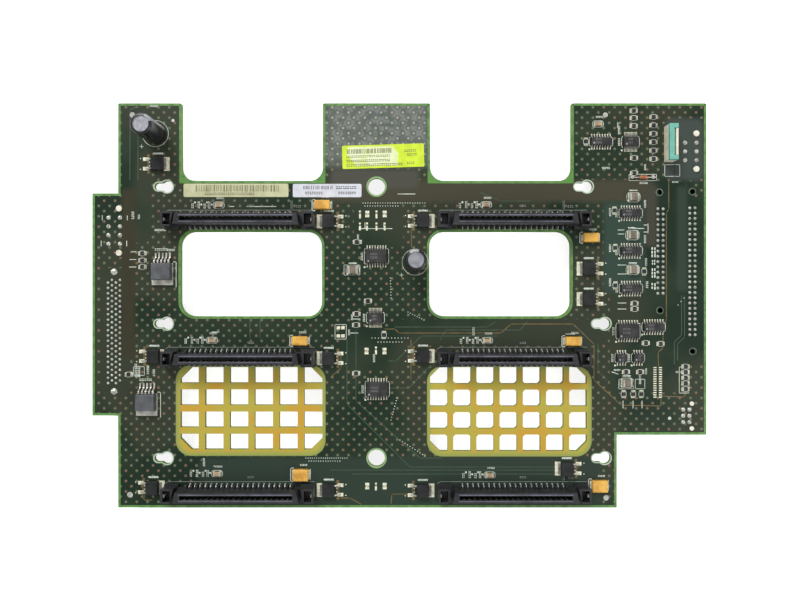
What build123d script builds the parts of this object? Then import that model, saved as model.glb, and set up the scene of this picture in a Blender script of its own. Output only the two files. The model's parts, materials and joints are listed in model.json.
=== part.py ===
from build123d import *
from dataclasses import dataclass
import os

# Backplane board for six hot-plug drives, lying on its rear connectors with the drive side up.
# +X is the board's right, +Y its top edge, +Z the way the drives come from. Millimetres.

os.makedirs("parts", exist_ok=True)

# Moulded pegs are eight-sided, so that they crush into their round holes
peg_sides = 8

# Board outline, as a chain of widths from left to right
left_ear_width = 12.4
left_tab_width = 30.6
notch_width = 67.8
centre_tab_width = 51.6
right_wing_width = 65.0

# Board outline, as a chain of heights from the bottom edge up
edge_to_bottom_row = 7.4
lower_row_pitch = 64.6
upper_row_pitch = 65.9
top_row_to_notch = 19.2
notch_depth = 37.3
ear_top_drop = 6.0
ear_bottom_drop = 27.8
wing_bottom_drop = 37.0
wing_step_width = 43.1
notch_radius = 6.3
corner_radius = 0.8
board_thickness = 2.4

# Windows between the drive rows
window_width = 67.8
window_height = 40.6
window_radius = 7.0
window_shift = -0.4
window_drop = 5.3

# Ventilation grids of bare laminate
left_cell_width = 8.75
left_cell_height = 7.5
left_rib_width = 3.14
left_rib_height = 3.17
left_columns = 6
left_corner_cut = 5.4
right_cell_width = 8.37
right_cell_height = 7.85
right_rib_width = 2.78
right_rib_height = 2.95
right_columns = 7
right_corner_cut = 4.6
right_cell_chamfer = 1.1
grid_rows = 4
grid_drop = 4.5
right_grid_shift = 4.1

# Keyholes and round holes that hang the board on its frame
keyhole_radius = 2.8
keyhole_slot_radius = 1.85
keyhole_travel = 4.2
keyhole_rise = 16.4
left_keyhole_inset = 7.1
upper_keyhole_inset = 7.6
lower_keyhole_inset = 16.1
guide_hole_radius = 4.05

# Drive sockets
socket_outset = 5.7
socket_base_width = 8.8
socket_waist_width = 5.6
socket_base_height = 2.2
socket_height = 11.0
body_width = 5.0
body_half_length = 28.4
body_taper = 1.0
slot_end_wall = 2.1
slot_end_gap = 2.0
slot_width = 1.8
slot_depth = 7.6
slot_chamfer = 0.3
tower_height = 8.0
tower_width = 6.8
tower_gap = 1.6
tower_length = 6.0
tower_slant = 1.6
pocket_width = 3.6
pocket_length = 5.2
pocket_depth = 5.6
tower_wall = 1.0
contact_pitch = 2.54
inner_row = 1.27
contact_width = 0.45
blade_depth = 1.0
nose_gap = 1.2
tail_length = 0.9
ground_strip = 0.5

# Aluminium electrolytic capacitors
can_radius = 5.0
can_height = 20.0
can_crimp = 1.2
capacitor_lead_pitch = 5.0
capacitor_lead_radius = 0.3

# Power transistors, moulded with a solder tab, most of them close to a socket's end
transistor_clearance = 1.0
transistor_length = 6.1
transistor_width = 6.6
transistor_height = 2.3
transistor_tab_width = 5.3
transistor_tab_reach = 1.1
transistor_tab_height = 0.5
transistor_tab_seat = 1.2
transistor_lead_pitch = 4.57
transistor_lead_width = 0.8
transistor_lead_reach = 2.8
mould_draft = 7

# Five-lead regulators
regulator_length = 8.2
regulator_width = 9.6
regulator_height = 4.4
regulator_tab_width = 10.2
regulator_tab_reach = 2.4
regulator_tab_height = 1.3
regulator_lead_pitch = 1.7
regulator_lead_count = 5
regulator_lead_width = 0.8
regulator_lead_thickness = 0.5
regulator_lead_reach = 5.0
regulator_lead_rise = 2.4
regulator_lead_root = 1.0
regulator_lead_foot = 2.6

# Integrated circuits: length, width and height of each package
wide_chip = (10.3, 7.0, 2.3)
narrow_chip = (9.9, 3.9, 1.6)
small_chip = (4.9, 3.9, 1.6)
fine_chip = (7.2, 4.8, 1.8)
chip_pitch = 1.27
fine_chip_pitch = 0.65
long_chip_lead_count = 8
small_chip_lead_count = 4
fine_chip_lead_count = 10
chip_standoff = 0.12
lead_reach = 1.15
fine_lead_reach = 1.7
lead_height = 0.75
lead_share = 0.36

# Moulded tantalum capacitors
tantalum_length = 7.3
tantalum_width = 4.4
large_tantalum_width = 5.6
tantalum_height = 2.8
tantalum_terminal = 0.35
tantalum_terminal_width = 2.4
tantalum_terminal_height = 1.5

# Chip resistors, ceramic capacitors and inductors
resistor_length = 3.0
resistor_width = 1.5
resistor_height = 0.6
ceramic_length = 3.4
ceramic_width = 2.0
ceramic_height = 1.2
inductor_length = 4.4
inductor_width = 3.6
inductor_height = 2.2

# Glass diode
diode_length = 3.9
diode_radius = 0.9
diode_span = 12.6
diode_lead_radius = 0.25

# Flat-cable connector with a sliding latch
cable_length = 17.0
cable_width = 4.2
cable_height = 5.6
cable_wall_height = 7.3
cable_wall = 1.1
cable_pitch = 1.0
cable_ways = 12
cable_contact = 0.3
cable_contact_width = 0.42
cable_slot_width = 1.5
cable_slot_depth = 4.6
latch_height = 1.9
latch_gap = 0.05
latch_tongue = 0.7
latch_tongue_depth = 3.6

# High-density connector on the rear
dense_pitch = 2.54
dense_rows = 20
dense_column_pitch = 1.905
dense_length = 64.0
dense_width = 9.4
dense_height = 11.2
dense_cavity_length = 53.0
dense_cavity_width = 5.2
dense_cavity_depth = 6.5
dense_tongue_width = 1.8
dense_boss_spacing = 57.5
dense_boss_radius = 1.3
rear_pin_width = 0.5

# Power headers on the rear
power_pitch = 4.2
power_column_pitch = 5.5
power_depth = 9.6
power_height = 12.8
power_cell = 3.5
power_floor = 3.0
power_pin_width = 1.07
power_pin_recess = 2.6
power_peg_offset = 2.45
power_peg_outset = 2.25
power_peg_radius = 1.5
power_ear_height = 2.6
power_ear_margin = 1.2
ramp_start = 1.5
ramp_rise = 1.3
ramp_length = 2.4
fine_power_pitch = 3.0
fine_power_depth = 7.0
fine_power_height = 9.9
fine_power_cell = 2.3
fine_power_pin_width = 0.64
fine_power_peg_outset = 1.45
fine_power_peg_radius = 1.1

# Shrouded pin headers on the rear
shroud_width = 8.9
shroud_height = 9.1
shroud_cavity_width = 6.5
shroud_cavity_depth = 6.6
shroud_end = 3.6
shroud_key_width = 4.5
shroud_flange_height = 3.0
shroud_flange_width = 6.4
shroud_peg_radius = 1.5
shroud_peg_outset_34 = 8.08
shroud_peg_outset_50 = 7.92
header_pitch = 2.54
header_pin_width = 0.64
header_pin_recess = 2.4
pin_tip = 0.8

# Paper labels
label_thickness = 0.15
barcode_label = (50.4, 6.4)
white_label = (33.0, 6.4)
bright_label = (39.4, 11.2)
bright_label_turn = 1.8

# Datums across the board
board_length = left_ear_width + left_tab_width + 2 * notch_width + centre_tab_width + right_wing_width
left_edge = -board_length / 2
tab_left = left_edge + left_ear_width
notch_1_left = tab_left + left_tab_width
notch_1_right = notch_1_left + notch_width
notch_2_left = notch_1_right + centre_tab_width
notch_2_right = notch_2_left + notch_width
right_edge = notch_2_right + right_wing_width
spine_x = (notch_1_right + notch_2_left) / 2
notch_centres = [(notch_1_left + notch_1_right) / 2, (notch_2_left + notch_2_right) / 2]
left_column = notch_centres[0] - socket_outset
right_column = notch_centres[1] + socket_outset
window_x = [x + window_shift for x in notch_centres]

# Datums along a drive socket, from its centre
tower_inner = body_half_length + tower_gap
tower_outer = tower_inner + tower_length
slot_length = 2 * (body_half_length - slot_end_wall)
contacts_per_row = 1 + int((slot_length - 2 * slot_end_gap) / contact_pitch)

# Datums up the board
board_depth = edge_to_bottom_row + lower_row_pitch + upper_row_pitch + top_row_to_notch + notch_depth
bottom_edge = -board_depth / 2
bottom_row = bottom_edge + edge_to_bottom_row
middle_row = bottom_row + lower_row_pitch
top_row = middle_row + upper_row_pitch
notch_floor = top_row + top_row_to_notch
top_edge = notch_floor + notch_depth
row_y = [top_row, middle_row, bottom_row]
ear_top = notch_floor - ear_top_drop
ear_bottom = middle_row - ear_bottom_drop
wing_bottom = middle_row - wing_bottom_drop
wing_step_x = right_edge - wing_step_width

# Datums through the board: it stands on its tallest rear connector
board_bottom = power_height
board_top = board_bottom + board_thickness
tail_end = board_bottom - tail_length
pin_end = board_top + pin_tip

# Places of the rear connectors
dense_x = left_edge + 10.4
dense_y = middle_row + 12.6
power_8_x = left_edge + 10.5
power_8_y = top_row - 4.85
power_6_x = right_edge - 7.5
power_6_y = top_edge - 23.2
fine_power_x = right_edge - 9.7
fine_power_y = middle_row - 27.9
header_34_x = right_edge - 22.1
header_34_y = top_row - 14.6
header_50_x = right_edge - 6.75
header_50_y = top_row - 24.35


def export(part, name):
    """Labels a finished piece and writes it as one STEP file."""
    part.label = name
    export_step(part, f"parts/{name}.step")


def level(x, y, z=board_top):
    """A plane parallel to the board at one place."""
    return Plane(origin=(x, y, z))


def box_solids(places, size_x, size_y, low, high):
    """Upright posts of one section between two heights, as one part."""
    with BuildPart() as posts:
        with BuildSketch(Plane.XY.offset(low)):
            with Locations(*places):
                Rectangle(size_x, size_y)
        extrude(amount=high - low)
    return posts


# Board: outline, windows, grids and holes
left_field_width = left_columns * left_cell_width + (left_columns - 1) * left_rib_width
left_field_height = grid_rows * left_cell_height + (grid_rows - 1) * left_rib_height
right_field_width = right_columns * right_cell_width + (right_columns - 1) * right_rib_width
right_field_height = grid_rows * right_cell_height + (grid_rows - 1) * right_rib_height
right_pitch_x = right_cell_width + right_rib_width
right_pitch_y = right_cell_height + right_rib_height
crossing_size = (right_rib_width + right_rib_height + 2 * right_cell_chamfer) / 2**0.5
left_grid = (window_x[0], middle_row - grid_drop - left_field_height / 2)
right_grid = (window_x[1] + right_grid_shift, middle_row - grid_drop - right_field_height / 2)
window_y = top_row - window_drop - window_height / 2
keyholes = [(notch_1_left - left_keyhole_inset, y + keyhole_rise) for y in row_y]
keyholes += [(notch_2_right + upper_keyhole_inset, top_row + keyhole_rise)]
keyholes += [(notch_2_right + lower_keyhole_inset, y + keyhole_rise) for y in row_y[1:]]
guide_holes = [(spine_x, top_row + keyhole_rise), (spine_x, bottom_row + keyhole_rise)]
outline = [
    (tab_left, bottom_edge),
    (wing_step_x, bottom_edge),
    (wing_step_x, wing_bottom),
    (right_edge, wing_bottom),
    (right_edge, top_edge),
    (notch_2_right, top_edge),
    (notch_2_right, notch_floor),
    (notch_2_left, notch_floor),
    (notch_2_left, top_edge),
    (notch_1_right, top_edge),
    (notch_1_right, notch_floor),
    (notch_1_left, notch_floor),
    (notch_1_left, top_edge),
    (tab_left, top_edge),
    (tab_left, ear_top),
    (left_edge, ear_top),
    (left_edge, ear_bottom),
    (tab_left, ear_bottom),
]

with BuildPart() as board:
    with BuildSketch(Plane.XY.offset(board_bottom)) as outline_sketch:
        with BuildLine():
            Polyline(*outline, close=True)
        make_face()
        floor_corners = outline_sketch.vertices().filter_by(lambda v: abs(v.Y - notch_floor) < 0.01)
        fillet(floor_corners, notch_radius)
        top_corners = outline_sketch.vertices().filter_by(lambda v: abs(v.Y - top_edge) < 0.01)
        fillet(top_corners, corner_radius)
        with Locations(*[(x, window_y) for x in window_x]):
            RectangleRounded(window_width, window_height, window_radius, mode=Mode.SUBTRACT)
        with Locations(*guide_holes):
            Circle(guide_hole_radius, mode=Mode.SUBTRACT)
        with Locations(*keyholes):
            Circle(keyhole_radius, mode=Mode.SUBTRACT)
        with Locations(*[(x - keyhole_travel, y) for x, y in keyholes]):
            Circle(keyhole_slot_radius, mode=Mode.SUBTRACT)
        with Locations(*[(x - keyhole_travel / 2, y) for x, y in keyholes]):
            Rectangle(keyhole_travel, 2 * keyhole_slot_radius, mode=Mode.SUBTRACT)
    extrude(amount=board_thickness)
    # Left grid: square-cornered cells, the field's own corners cut off at 45 degrees
    with BuildSketch(Plane.XY.offset(board_bottom)) as left_cells:
        with Locations(left_grid):
            Rectangle(left_field_width, left_field_height)
        chamfer(left_cells.vertices(), left_corner_cut)
        with Locations(left_grid):
            with GridLocations(left_cell_width + left_rib_width, 0, left_columns - 1, 1):
                Rectangle(left_rib_width, left_field_height, mode=Mode.SUBTRACT)
            with GridLocations(0, left_cell_height + left_rib_height, 1, grid_rows - 1):
                Rectangle(left_field_width, left_rib_height, mode=Mode.SUBTRACT)
    extrude(amount=board_thickness, mode=Mode.SUBTRACT)
    # Right grid: cells with their corners blunted
    with BuildSketch(Plane.XY.offset(board_bottom)) as right_cells:
        with Locations(right_grid):
            Rectangle(right_field_width, right_field_height)
        chamfer(right_cells.vertices(), right_corner_cut)
        with Locations(right_grid):
            with GridLocations(right_pitch_x, 0, right_columns - 1, 1):
                Rectangle(right_rib_width, right_field_height, mode=Mode.SUBTRACT)
            with GridLocations(0, right_pitch_y, 1, grid_rows - 1):
                Rectangle(right_field_width, right_rib_height, mode=Mode.SUBTRACT)
            with GridLocations(right_pitch_x, right_pitch_y, right_columns - 1, grid_rows - 1):
                Rectangle(crossing_size, crossing_size, 45, mode=Mode.SUBTRACT)
    extrude(amount=board_thickness, mode=Mode.SUBTRACT)
export(board.part, "board")

# Drive sockets: a low base, a raised keyed body with the slot, and a guide tower at each end
socket_places = [(x, y) for y in row_y for x in (left_column, right_column)]
ground_places = []
for number, (x, y) in enumerate(socket_places, start=1):
    with BuildPart() as drive_socket:
        with BuildSketch(level(x, y)) as base:
            Rectangle(2 * tower_outer, socket_waist_width)
            with Locations((-tower_outer + tower_width / 2, 0), (tower_outer - tower_width / 2, 0)):
                Rectangle(tower_width, socket_base_width)
        extrude(amount=socket_base_height)
        # The raised body is narrower along its upper side, so a drive fits one way only
        with BuildSketch(level(x, y, board_top + socket_base_height)):
            with BuildLine():
                Polyline(
                    (-body_half_length - body_taper, -body_width / 2),
                    (body_half_length + body_taper, -body_width / 2),
                    (body_half_length, body_width / 2),
                    (-body_half_length, body_width / 2),
                    close=True,
                )
            make_face()
        extrude(amount=socket_height - socket_base_height)
        with BuildSketch(level(x, y, board_top + socket_base_height)) as tower:
            with BuildLine():
                Polyline(
                    (tower_inner + tower_slant, -tower_width / 2),
                    (tower_outer, -tower_width / 2),
                    (tower_outer, tower_width / 2),
                    (tower_inner, tower_width / 2),
                    close=True,
                )
            make_face()
            mirror(about=Plane.YZ)
        extrude(amount=tower_height - socket_base_height)
        with BuildSketch(level(x, y, board_top + socket_height)):
            Rectangle(slot_length, slot_width)
        extrude(amount=-slot_depth, mode=Mode.SUBTRACT)
        slot_rim = drive_socket.faces().sort_by(Axis.Z)[-1].inner_wires().edges()
        chamfer(slot_rim, slot_chamfer)
        pocket_x = tower_outer - tower_wall - pocket_width / 2
        with BuildSketch(level(x, y, board_top + tower_height)):
            with Locations((-pocket_x, 0), (pocket_x, 0)):
                Rectangle(pocket_width, pocket_length)
        extrude(amount=-pocket_depth, mode=Mode.SUBTRACT)
    export(drive_socket.part, f"drive_socket_{number}")

    # Contacts: one row up each side of the slot, their tails through the board
    with BuildPart() as drive_contacts:
        with BuildSketch(level(x, y, tail_end)):
            with GridLocations(contact_pitch, 2 * inner_row, contacts_per_row, 2):
                Rectangle(contact_width, blade_depth)
        extrude(amount=board_top + socket_height - nose_gap - tail_end)
    export(drive_contacts.part, f"drive_contacts_{number}")

    ground_x = tower_outer - tower_wall - ground_strip / 2
    ground_places += [(x - ground_x, y), (x + ground_x, y)]

guide_contacts = box_solids(
    ground_places,
    ground_strip,
    ground_strip * 3,
    board_top + tower_height - pocket_depth,
    board_top + tower_height - nose_gap,
)
export(guide_contacts.part, "guide_contacts")

# Electrolytic capacitors: an aluminium can, crimped at the rim
capacitor_places = [(tab_left + 17.9, top_edge - 14.6), (notch_2_left - 7.2, top_row - 19.9)]
with BuildPart() as capacitor_cans:
    for x, y in capacitor_places:
        with BuildSketch(Plane(origin=(x, y, board_top), x_dir=(1, 0, 0), z_dir=(0, -1, 0))):
            with BuildLine():
                Polyline(
                    (0, 0),
                    (can_radius, 0),
                    (can_radius, can_height - can_crimp),
                    (can_radius - can_crimp, can_height),
                    (0, can_height),
                    close=True,
                )
            make_face()
        revolve(axis=Axis((x, y, 0), (0, 0, 1)))
export(capacitor_cans.part, "capacitor_cans")

with BuildPart() as capacitor_leads:
    with BuildSketch(Plane.XY.offset(tail_end)):
        with Locations(*capacitor_places):
            with GridLocations(capacitor_lead_pitch, 0, 2, 1):
                RegularPolygon(capacitor_lead_radius, 6)
    extrude(amount=board_top - tail_end)
export(capacitor_leads.part, "capacitor_leads")

# Power transistors: place of the body and the side that its tab faces, 1 for right and -1 for left
beside_socket = tower_outer + transistor_clearance + transistor_tab_reach + transistor_length / 2
transistor_places = [
    (tab_left + 19.1, notch_floor + 8.1, 1),
    (left_column + beside_socket + 1.2, top_row - 0.3, -1),
    (right_column - beside_socket - 2.0, top_row - 0.1, 1),
    (notch_2_right + 8.3, top_row - 23.0, -1),
    (notch_2_right + 8.3, top_row - 37.6, -1),
    (left_column - beside_socket - 0.4, middle_row + 0.8, 1),
    (left_column + beside_socket + 1.2, middle_row - 0.2, -1),
    (right_column - beside_socket - 2.0, middle_row + 0.9, 1),
    (left_column - beside_socket - 0.9, bottom_row + 2.3, 1),
    (left_column + beside_socket + 1.2, bottom_row + 1.1, -1),
    (right_column - beside_socket - 2.1, bottom_row + 0.9, 1),
    (right_column + tower_outer - 10.0, bottom_row + 11.4, -1),
]
with BuildPart() as transistor_bodies:
    with BuildSketch(Plane.XY.offset(board_top + transistor_tab_height)):
        with Locations(*[(x, y) for x, y, side in transistor_places]):
            Rectangle(transistor_length, transistor_width)
    extrude(amount=transistor_height - transistor_tab_height, taper=mould_draft)
export(transistor_bodies.part, "transistor_bodies")

tab_length = transistor_length - transistor_tab_seat + transistor_tab_reach
tab_shift = (transistor_tab_seat + transistor_tab_reach) / 2
transistor_tabs = box_solids(
    [(x + side * tab_shift, y) for x, y, side in transistor_places],
    tab_length,
    transistor_tab_width,
    board_top,
    board_top + transistor_tab_height,
)
export(transistor_tabs.part, "transistor_tabs")

transistor_leads = box_solids(
    [
        (x - side * (transistor_length + transistor_lead_reach) / 2, y + row * transistor_lead_pitch / 2)
        for x, y, side in transistor_places
        for row in (-1, 1)
    ],
    transistor_lead_reach,
    transistor_lead_width,
    board_top,
    board_top + 2 * transistor_tab_height,
)
export(transistor_leads.part, "transistor_leads")

# Regulators: body, metal tab towards the bottom edge, five cranked leads towards the top edge
regulator_places = [(tab_left + 21.6, top_row - 24.5), (tab_left + 14.1, ear_bottom + 6.6)]
for number, (x, y) in enumerate(regulator_places, start=1):
    with BuildPart() as regulator_body:
        with BuildSketch(level(x, y, board_top + regulator_tab_height)):
            Rectangle(regulator_width, regulator_length)
        extrude(amount=regulator_height - regulator_tab_height, taper=mould_draft)
    export(regulator_body.part, f"regulator_body_{number}")

regulator_tabs = box_solids(
    [(x, y - regulator_tab_reach / 2) for x, y in regulator_places],
    regulator_tab_width,
    regulator_length + regulator_tab_reach,
    board_top,
    board_top + regulator_tab_height,
)
export(regulator_tabs.part, "regulator_tabs")

lead_shoulder = regulator_lead_root + regulator_lead_thickness / 2
lead_heel = regulator_lead_foot + regulator_lead_thickness / 2
with BuildPart() as regulator_leads:
    for x, y in regulator_places:
        root = (x, y + regulator_length / 2, board_top)
        with BuildSketch(Plane(origin=root, x_dir=(0, 1, 0), z_dir=(1, 0, 0))) as lead_side:
            with BuildLine():
                Polyline(
                    (0, regulator_lead_rise),
                    (regulator_lead_root, regulator_lead_rise),
                    (regulator_lead_foot, 0),
                    (regulator_lead_reach, 0),
                    (regulator_lead_reach, regulator_lead_thickness),
                    (lead_heel, regulator_lead_thickness),
                    (lead_shoulder, regulator_lead_rise + regulator_lead_thickness),
                    (0, regulator_lead_rise + regulator_lead_thickness),
                    close=True,
                )
            make_face()
        # The profile is drawn at the row's centre and repeated across the body
        for i in range(regulator_lead_count):
            shift = (i - (regulator_lead_count - 1) / 2) * regulator_lead_pitch
            lead_face = lead_side.sketch.moved(Location((shift, 0, 0)))
            extrude(lead_face, amount=regulator_lead_width / 2, dir=(1, 0, 0), both=True)
export(regulator_leads.part, "regulator_leads")

# Integrated circuits: each package is its body, the leads on each side, their pitch and their reach
wide = (wide_chip, long_chip_lead_count, chip_pitch, lead_reach)
narrow = (narrow_chip, long_chip_lead_count, chip_pitch, lead_reach)
small = (small_chip, small_chip_lead_count, chip_pitch, lead_reach)
fine_pitch = (fine_chip, fine_chip_lead_count, fine_chip_pitch, fine_lead_reach)
circuits = [
    ("wide_chip_1", wide, (spine_x, top_row - 17.1)),
    ("wide_chip_2", wide, (spine_x + 0.4, middle_row - 15.0)),
    ("wide_chip_3", wide, (right_edge - 37.7, middle_row + 12.9)),
    ("narrow_chip_1", narrow, (right_edge - 50.7, top_edge - 18.5)),
    ("narrow_chip_2", narrow, (right_edge - 36.4, top_row + 3.6)),
    ("narrow_chip_3", narrow, (right_edge - 36.4, top_row - 14.5)),
    ("narrow_chip_4", narrow, (right_edge - 36.3, top_row - 32.6)),
    ("narrow_chip_5", narrow, (right_edge - 25.4, middle_row + 14.8)),
    ("small_chip_1", small, (right_edge - 40.9, middle_row)),
    ("small_chip_2", small, (right_edge - 32.9, middle_row)),
    ("fine_pitch_chip_1", fine_pitch, (spine_x - 0.5, middle_row + 19.3)),
    ("fine_pitch_chip_2", fine_pitch, (right_edge - 36.5, top_edge - 18.6)),
]
for name, ((length, width, height), count, pitch, reach), (x, y) in circuits:
    with BuildPart() as circuit:
        with BuildSketch(level(x, y, board_top + chip_standoff)):
            Rectangle(length, width)
        extrude(amount=height - chip_standoff, taper=mould_draft)
    export(circuit.part, name)

# Each side's leads are one sloped strip, cut into its leads by the gaps between them
with BuildPart() as chip_leads:
    for name, ((length, width, height), count, pitch, reach), (x, y) in circuits:
        row_length = (count - 1) * pitch + lead_share * pitch
        for side in (-1, 1):
            row_end = (x - row_length / 2, y + side * width / 2, board_top)
            with BuildSketch(Plane(origin=row_end, x_dir=(0, 1, 0), z_dir=(1, 0, 0))):
                with BuildLine():
                    Polyline((0, 0), (side * reach, 0), (0, lead_height), close=True)
                make_face()
            extrude(amount=row_length)
    with BuildSketch(Plane.XY.offset(board_top)):
        for name, ((length, width, height), count, pitch, reach), place in circuits:
            with Locations(place):
                with GridLocations(pitch, width + reach, count - 1, 2):
                    Rectangle((1 - lead_share) * pitch, reach)
    extrude(amount=lead_height, mode=Mode.SUBTRACT)
export(chip_leads.part, "chip_leads")

# Tantalum capacitors, above or beside a socket's right end: place and width of the body
tantalum_places = [
    (left_column + tower_outer + 3.4, top_row + 7.5, tantalum_width),
    (left_column + tower_outer - 7.3, middle_row + 8.2, tantalum_width),
    (left_column + tower_outer - 6.9, bottom_row + 8.5, large_tantalum_width),
    (right_column + tower_outer + 1.3, top_row - 8.2, tantalum_width),
    (right_column + tower_outer - 7.3, middle_row + 8.0, tantalum_width),
    (right_column + tower_outer + 5.5, bottom_row + 3.2, large_tantalum_width),
]
with BuildPart() as tantalum_bodies:
    for x, y, width in tantalum_places:
        with BuildSketch(level(x, y)):
            Rectangle(tantalum_length, width)
        extrude(amount=tantalum_height)
    chamfer(tantalum_bodies.faces().filter_by(Axis.Z).group_by(Axis.Z)[-1].edges(), tantalum_terminal)
export(tantalum_bodies.part, "tantalum_bodies")

tantalum_end = (tantalum_length + tantalum_terminal) / 2
tantalum_terminals = box_solids(
    [(x + side * tantalum_end, y) for x, y, width in tantalum_places for side in (-1, 1)],
    tantalum_terminal,
    tantalum_terminal_width,
    board_top,
    board_top + tantalum_terminal_height,
)
export(tantalum_terminals.part, "tantalum_terminals")

# Chip resistors: those lying across the board, then those lying along it
resistors_across = [
    (right_edge - 35.0, top_edge - 3.6),
    (right_edge - 35.0, top_edge - 7.1),
    (right_edge - 35.0, top_edge - 10.9),
    (right_edge - 34.8, top_edge - 26.3),
    (right_edge - 34.8, top_edge - 33.6),
    (right_edge - 29.2, middle_row + 7.1),
    (right_edge - 22.1, middle_row + 6.7),
    (right_edge - 38.7, middle_row - 6.8),
    (right_edge - 31.9, middle_row - 6.8),
    (right_edge - 34.6, middle_row + 26.1),
    (right_edge - 34.6, middle_row + 23.5),
    (tab_left + 11.7, top_row - 15.7),
    (tab_left + 11.7, top_row - 19.1),
    (tab_left + 11.7, top_row - 22.2),
    (tab_left + 5.2, middle_row - 8.0),
    (spine_x - 9.4, top_row - 10.2),
    (spine_x - 9.6, middle_row + 21.1),
    (spine_x - 9.8, middle_row + 15.8),
    (spine_x - 9.8, middle_row - 7.5),
    (spine_x - 4.1, middle_row + 27.3),
]
resistors_across += [(right_edge - 25.5, top_edge - 6.6 - 4.04 * i) for i in range(6)]
resistors_across += [(right_edge - 10.1, middle_row - 4.2 - 2.7 * i) for i in range(5)]
resistors_along = [
    (right_edge - 39.8, middle_row - 17.4),
    (right_edge - 35.2, middle_row - 17.4),
    (right_edge - 31.3, middle_row - 17.4),
    (right_edge - 44.2, top_row + 4.9),
    (right_edge - 43.8, top_row - 13.1),
    (right_edge - 43.8, top_row - 31.1),
    (right_edge - 29.9, top_row - 24.4),
    (right_edge - 57.9, top_edge - 18.5),
    (spine_x + 3.6, middle_row + 11.0),
]
with BuildPart() as chip_resistors:
    with BuildSketch(Plane.XY.offset(board_top)):
        with Locations(*resistors_across):
            Rectangle(resistor_length, resistor_width)
        with Locations(*resistors_along):
            Rectangle(resistor_width, resistor_length)
    extrude(amount=resistor_height)
export(chip_resistors.part, "chip_resistors")

ceramic_places = [
    (left_column - 10.4, top_row + 7.5),
    (left_column - 13.7, middle_row + 8.4),
    (left_column - 11.2, bottom_row + 9.0),
    (right_column - 12.7, top_row + 7.6),
    (right_column - 12.2, middle_row + 8.3),
    (right_column - 11.0, bottom_row + 8.3),
    (right_edge - 52.1, top_edge - 10.0),
]
ceramic_top = board_top + ceramic_height
ceramic_capacitors = box_solids(ceramic_places, ceramic_length, ceramic_width, board_top, ceramic_top)
export(ceramic_capacitors.part, "ceramic_capacitors")

inductor_places = [
    (right_edge - 35.1, top_row + 11.3),
    (right_edge - 35.6, top_row - 6.9),
    (right_edge - 35.4, top_row - 23.6),
    (right_edge - 38.4, middle_row - 12.0),
    (spine_x - 11.4, top_row - 23.7),
]
inductor_top = board_top + inductor_height
chip_inductors = box_solids(inductor_places, inductor_length, inductor_width, board_top, inductor_top)
export(chip_inductors.part, "chip_inductors")

# Glass diode lying across the board on its bent leads
diode_x = right_edge - 30.6
diode_y = notch_floor + 1.5
diode_centre = (diode_x, diode_y, board_top + diode_radius)
with BuildPart() as diode_body:
    with BuildSketch(Plane(origin=diode_centre, x_dir=(0, 1, 0), z_dir=(1, 0, 0))):
        Circle(diode_radius)
    extrude(amount=diode_length / 2, both=True)
export(diode_body.part, "diode_body")

lead_end = (diode_span - diode_length) / 2
with BuildPart() as diode_leads:
    for side in (-1, 1):
        root = (diode_x + side * diode_length / 2, diode_y, board_top)
        with BuildSketch(Plane(origin=root, x_dir=(side, 0, 0), z_dir=(0, -side, 0))):
            with BuildLine():
                Polyline(
                    (0, diode_radius - diode_lead_radius),
                    (lead_end - 2 * diode_lead_radius, diode_radius - diode_lead_radius),
                    (lead_end - 2 * diode_lead_radius, -board_thickness),
                    (lead_end, -board_thickness),
                    (lead_end, diode_radius + diode_lead_radius),
                    (0, diode_radius + diode_lead_radius),
                    close=True,
                )
            make_face()
        extrude(amount=diode_lead_radius, both=True)
export(diode_leads.part, "diode_leads")

# Flat-cable connector: housing with a back wall, a row of contacts and a latch that slides up
cable_x = right_edge - 18.3
cable_y = top_edge - 19.9
cable_slot_x = cable_width / 2 - cable_wall - cable_slot_width / 2
cable_slot_length = cable_ways * cable_pitch + 0.6
with BuildPart() as cable_connector_housing:
    with BuildSketch(level(cable_x, cable_y)):
        Rectangle(cable_width, cable_length)
    extrude(amount=cable_height)
    with BuildSketch(level(cable_x, cable_y, board_top + cable_height)):
        with Locations((cable_width / 2 - cable_wall / 2, 0)):
            Rectangle(cable_wall, cable_slot_length)
    extrude(amount=cable_wall_height - cable_height)
    with BuildSketch(level(cable_x, cable_y, board_top + cable_height)):
        with Locations((cable_slot_x, 0)):
            Rectangle(cable_slot_width, cable_slot_length)
    extrude(amount=-cable_slot_depth, mode=Mode.SUBTRACT)
export(cable_connector_housing.part, "cable_connector_housing")

cable_contact_x = cable_x + cable_width / 2 - cable_wall - cable_contact / 2
cable_contacts = box_solids(
    [(cable_contact_x, cable_y + (i - (cable_ways - 1) / 2) * cable_pitch) for i in range(cable_ways)],
    cable_contact,
    cable_contact_width,
    board_top + cable_height - cable_slot_depth,
    board_top + cable_height - nose_gap / 2,
)
export(cable_contacts.part, "cable_contacts")

# The latch is a bar along one side with an end block each way and a tongue that wedges the cable
tongue_x = cable_slot_x - cable_slot_width / 2 + latch_gap + latch_tongue / 2
tongue_length = cable_slot_length - 4 * latch_gap
latch_bottom = board_top + cable_height + latch_gap
with BuildPart() as cable_latch:
    with BuildSketch(level(cable_x, cable_y, latch_bottom)):
        Rectangle(cable_width, cable_length)
        with Locations((cable_width / 2 - cable_wall, 0)):
            Rectangle(2 * cable_wall, cable_slot_length + 4 * latch_gap, mode=Mode.SUBTRACT)
    extrude(amount=latch_height)
    with BuildSketch(level(cable_x, cable_y, latch_bottom)):
        with Locations((tongue_x, 0)):
            Rectangle(latch_tongue, tongue_length)
    extrude(amount=-latch_tongue_depth)
    with BuildSketch(level(cable_x, cable_y, latch_bottom)):
        with Locations((tongue_x, 0)):
            Rectangle(latch_tongue, tongue_length)
    extrude(amount=latch_height)
export(cable_latch.part, "cable_latch")

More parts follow.
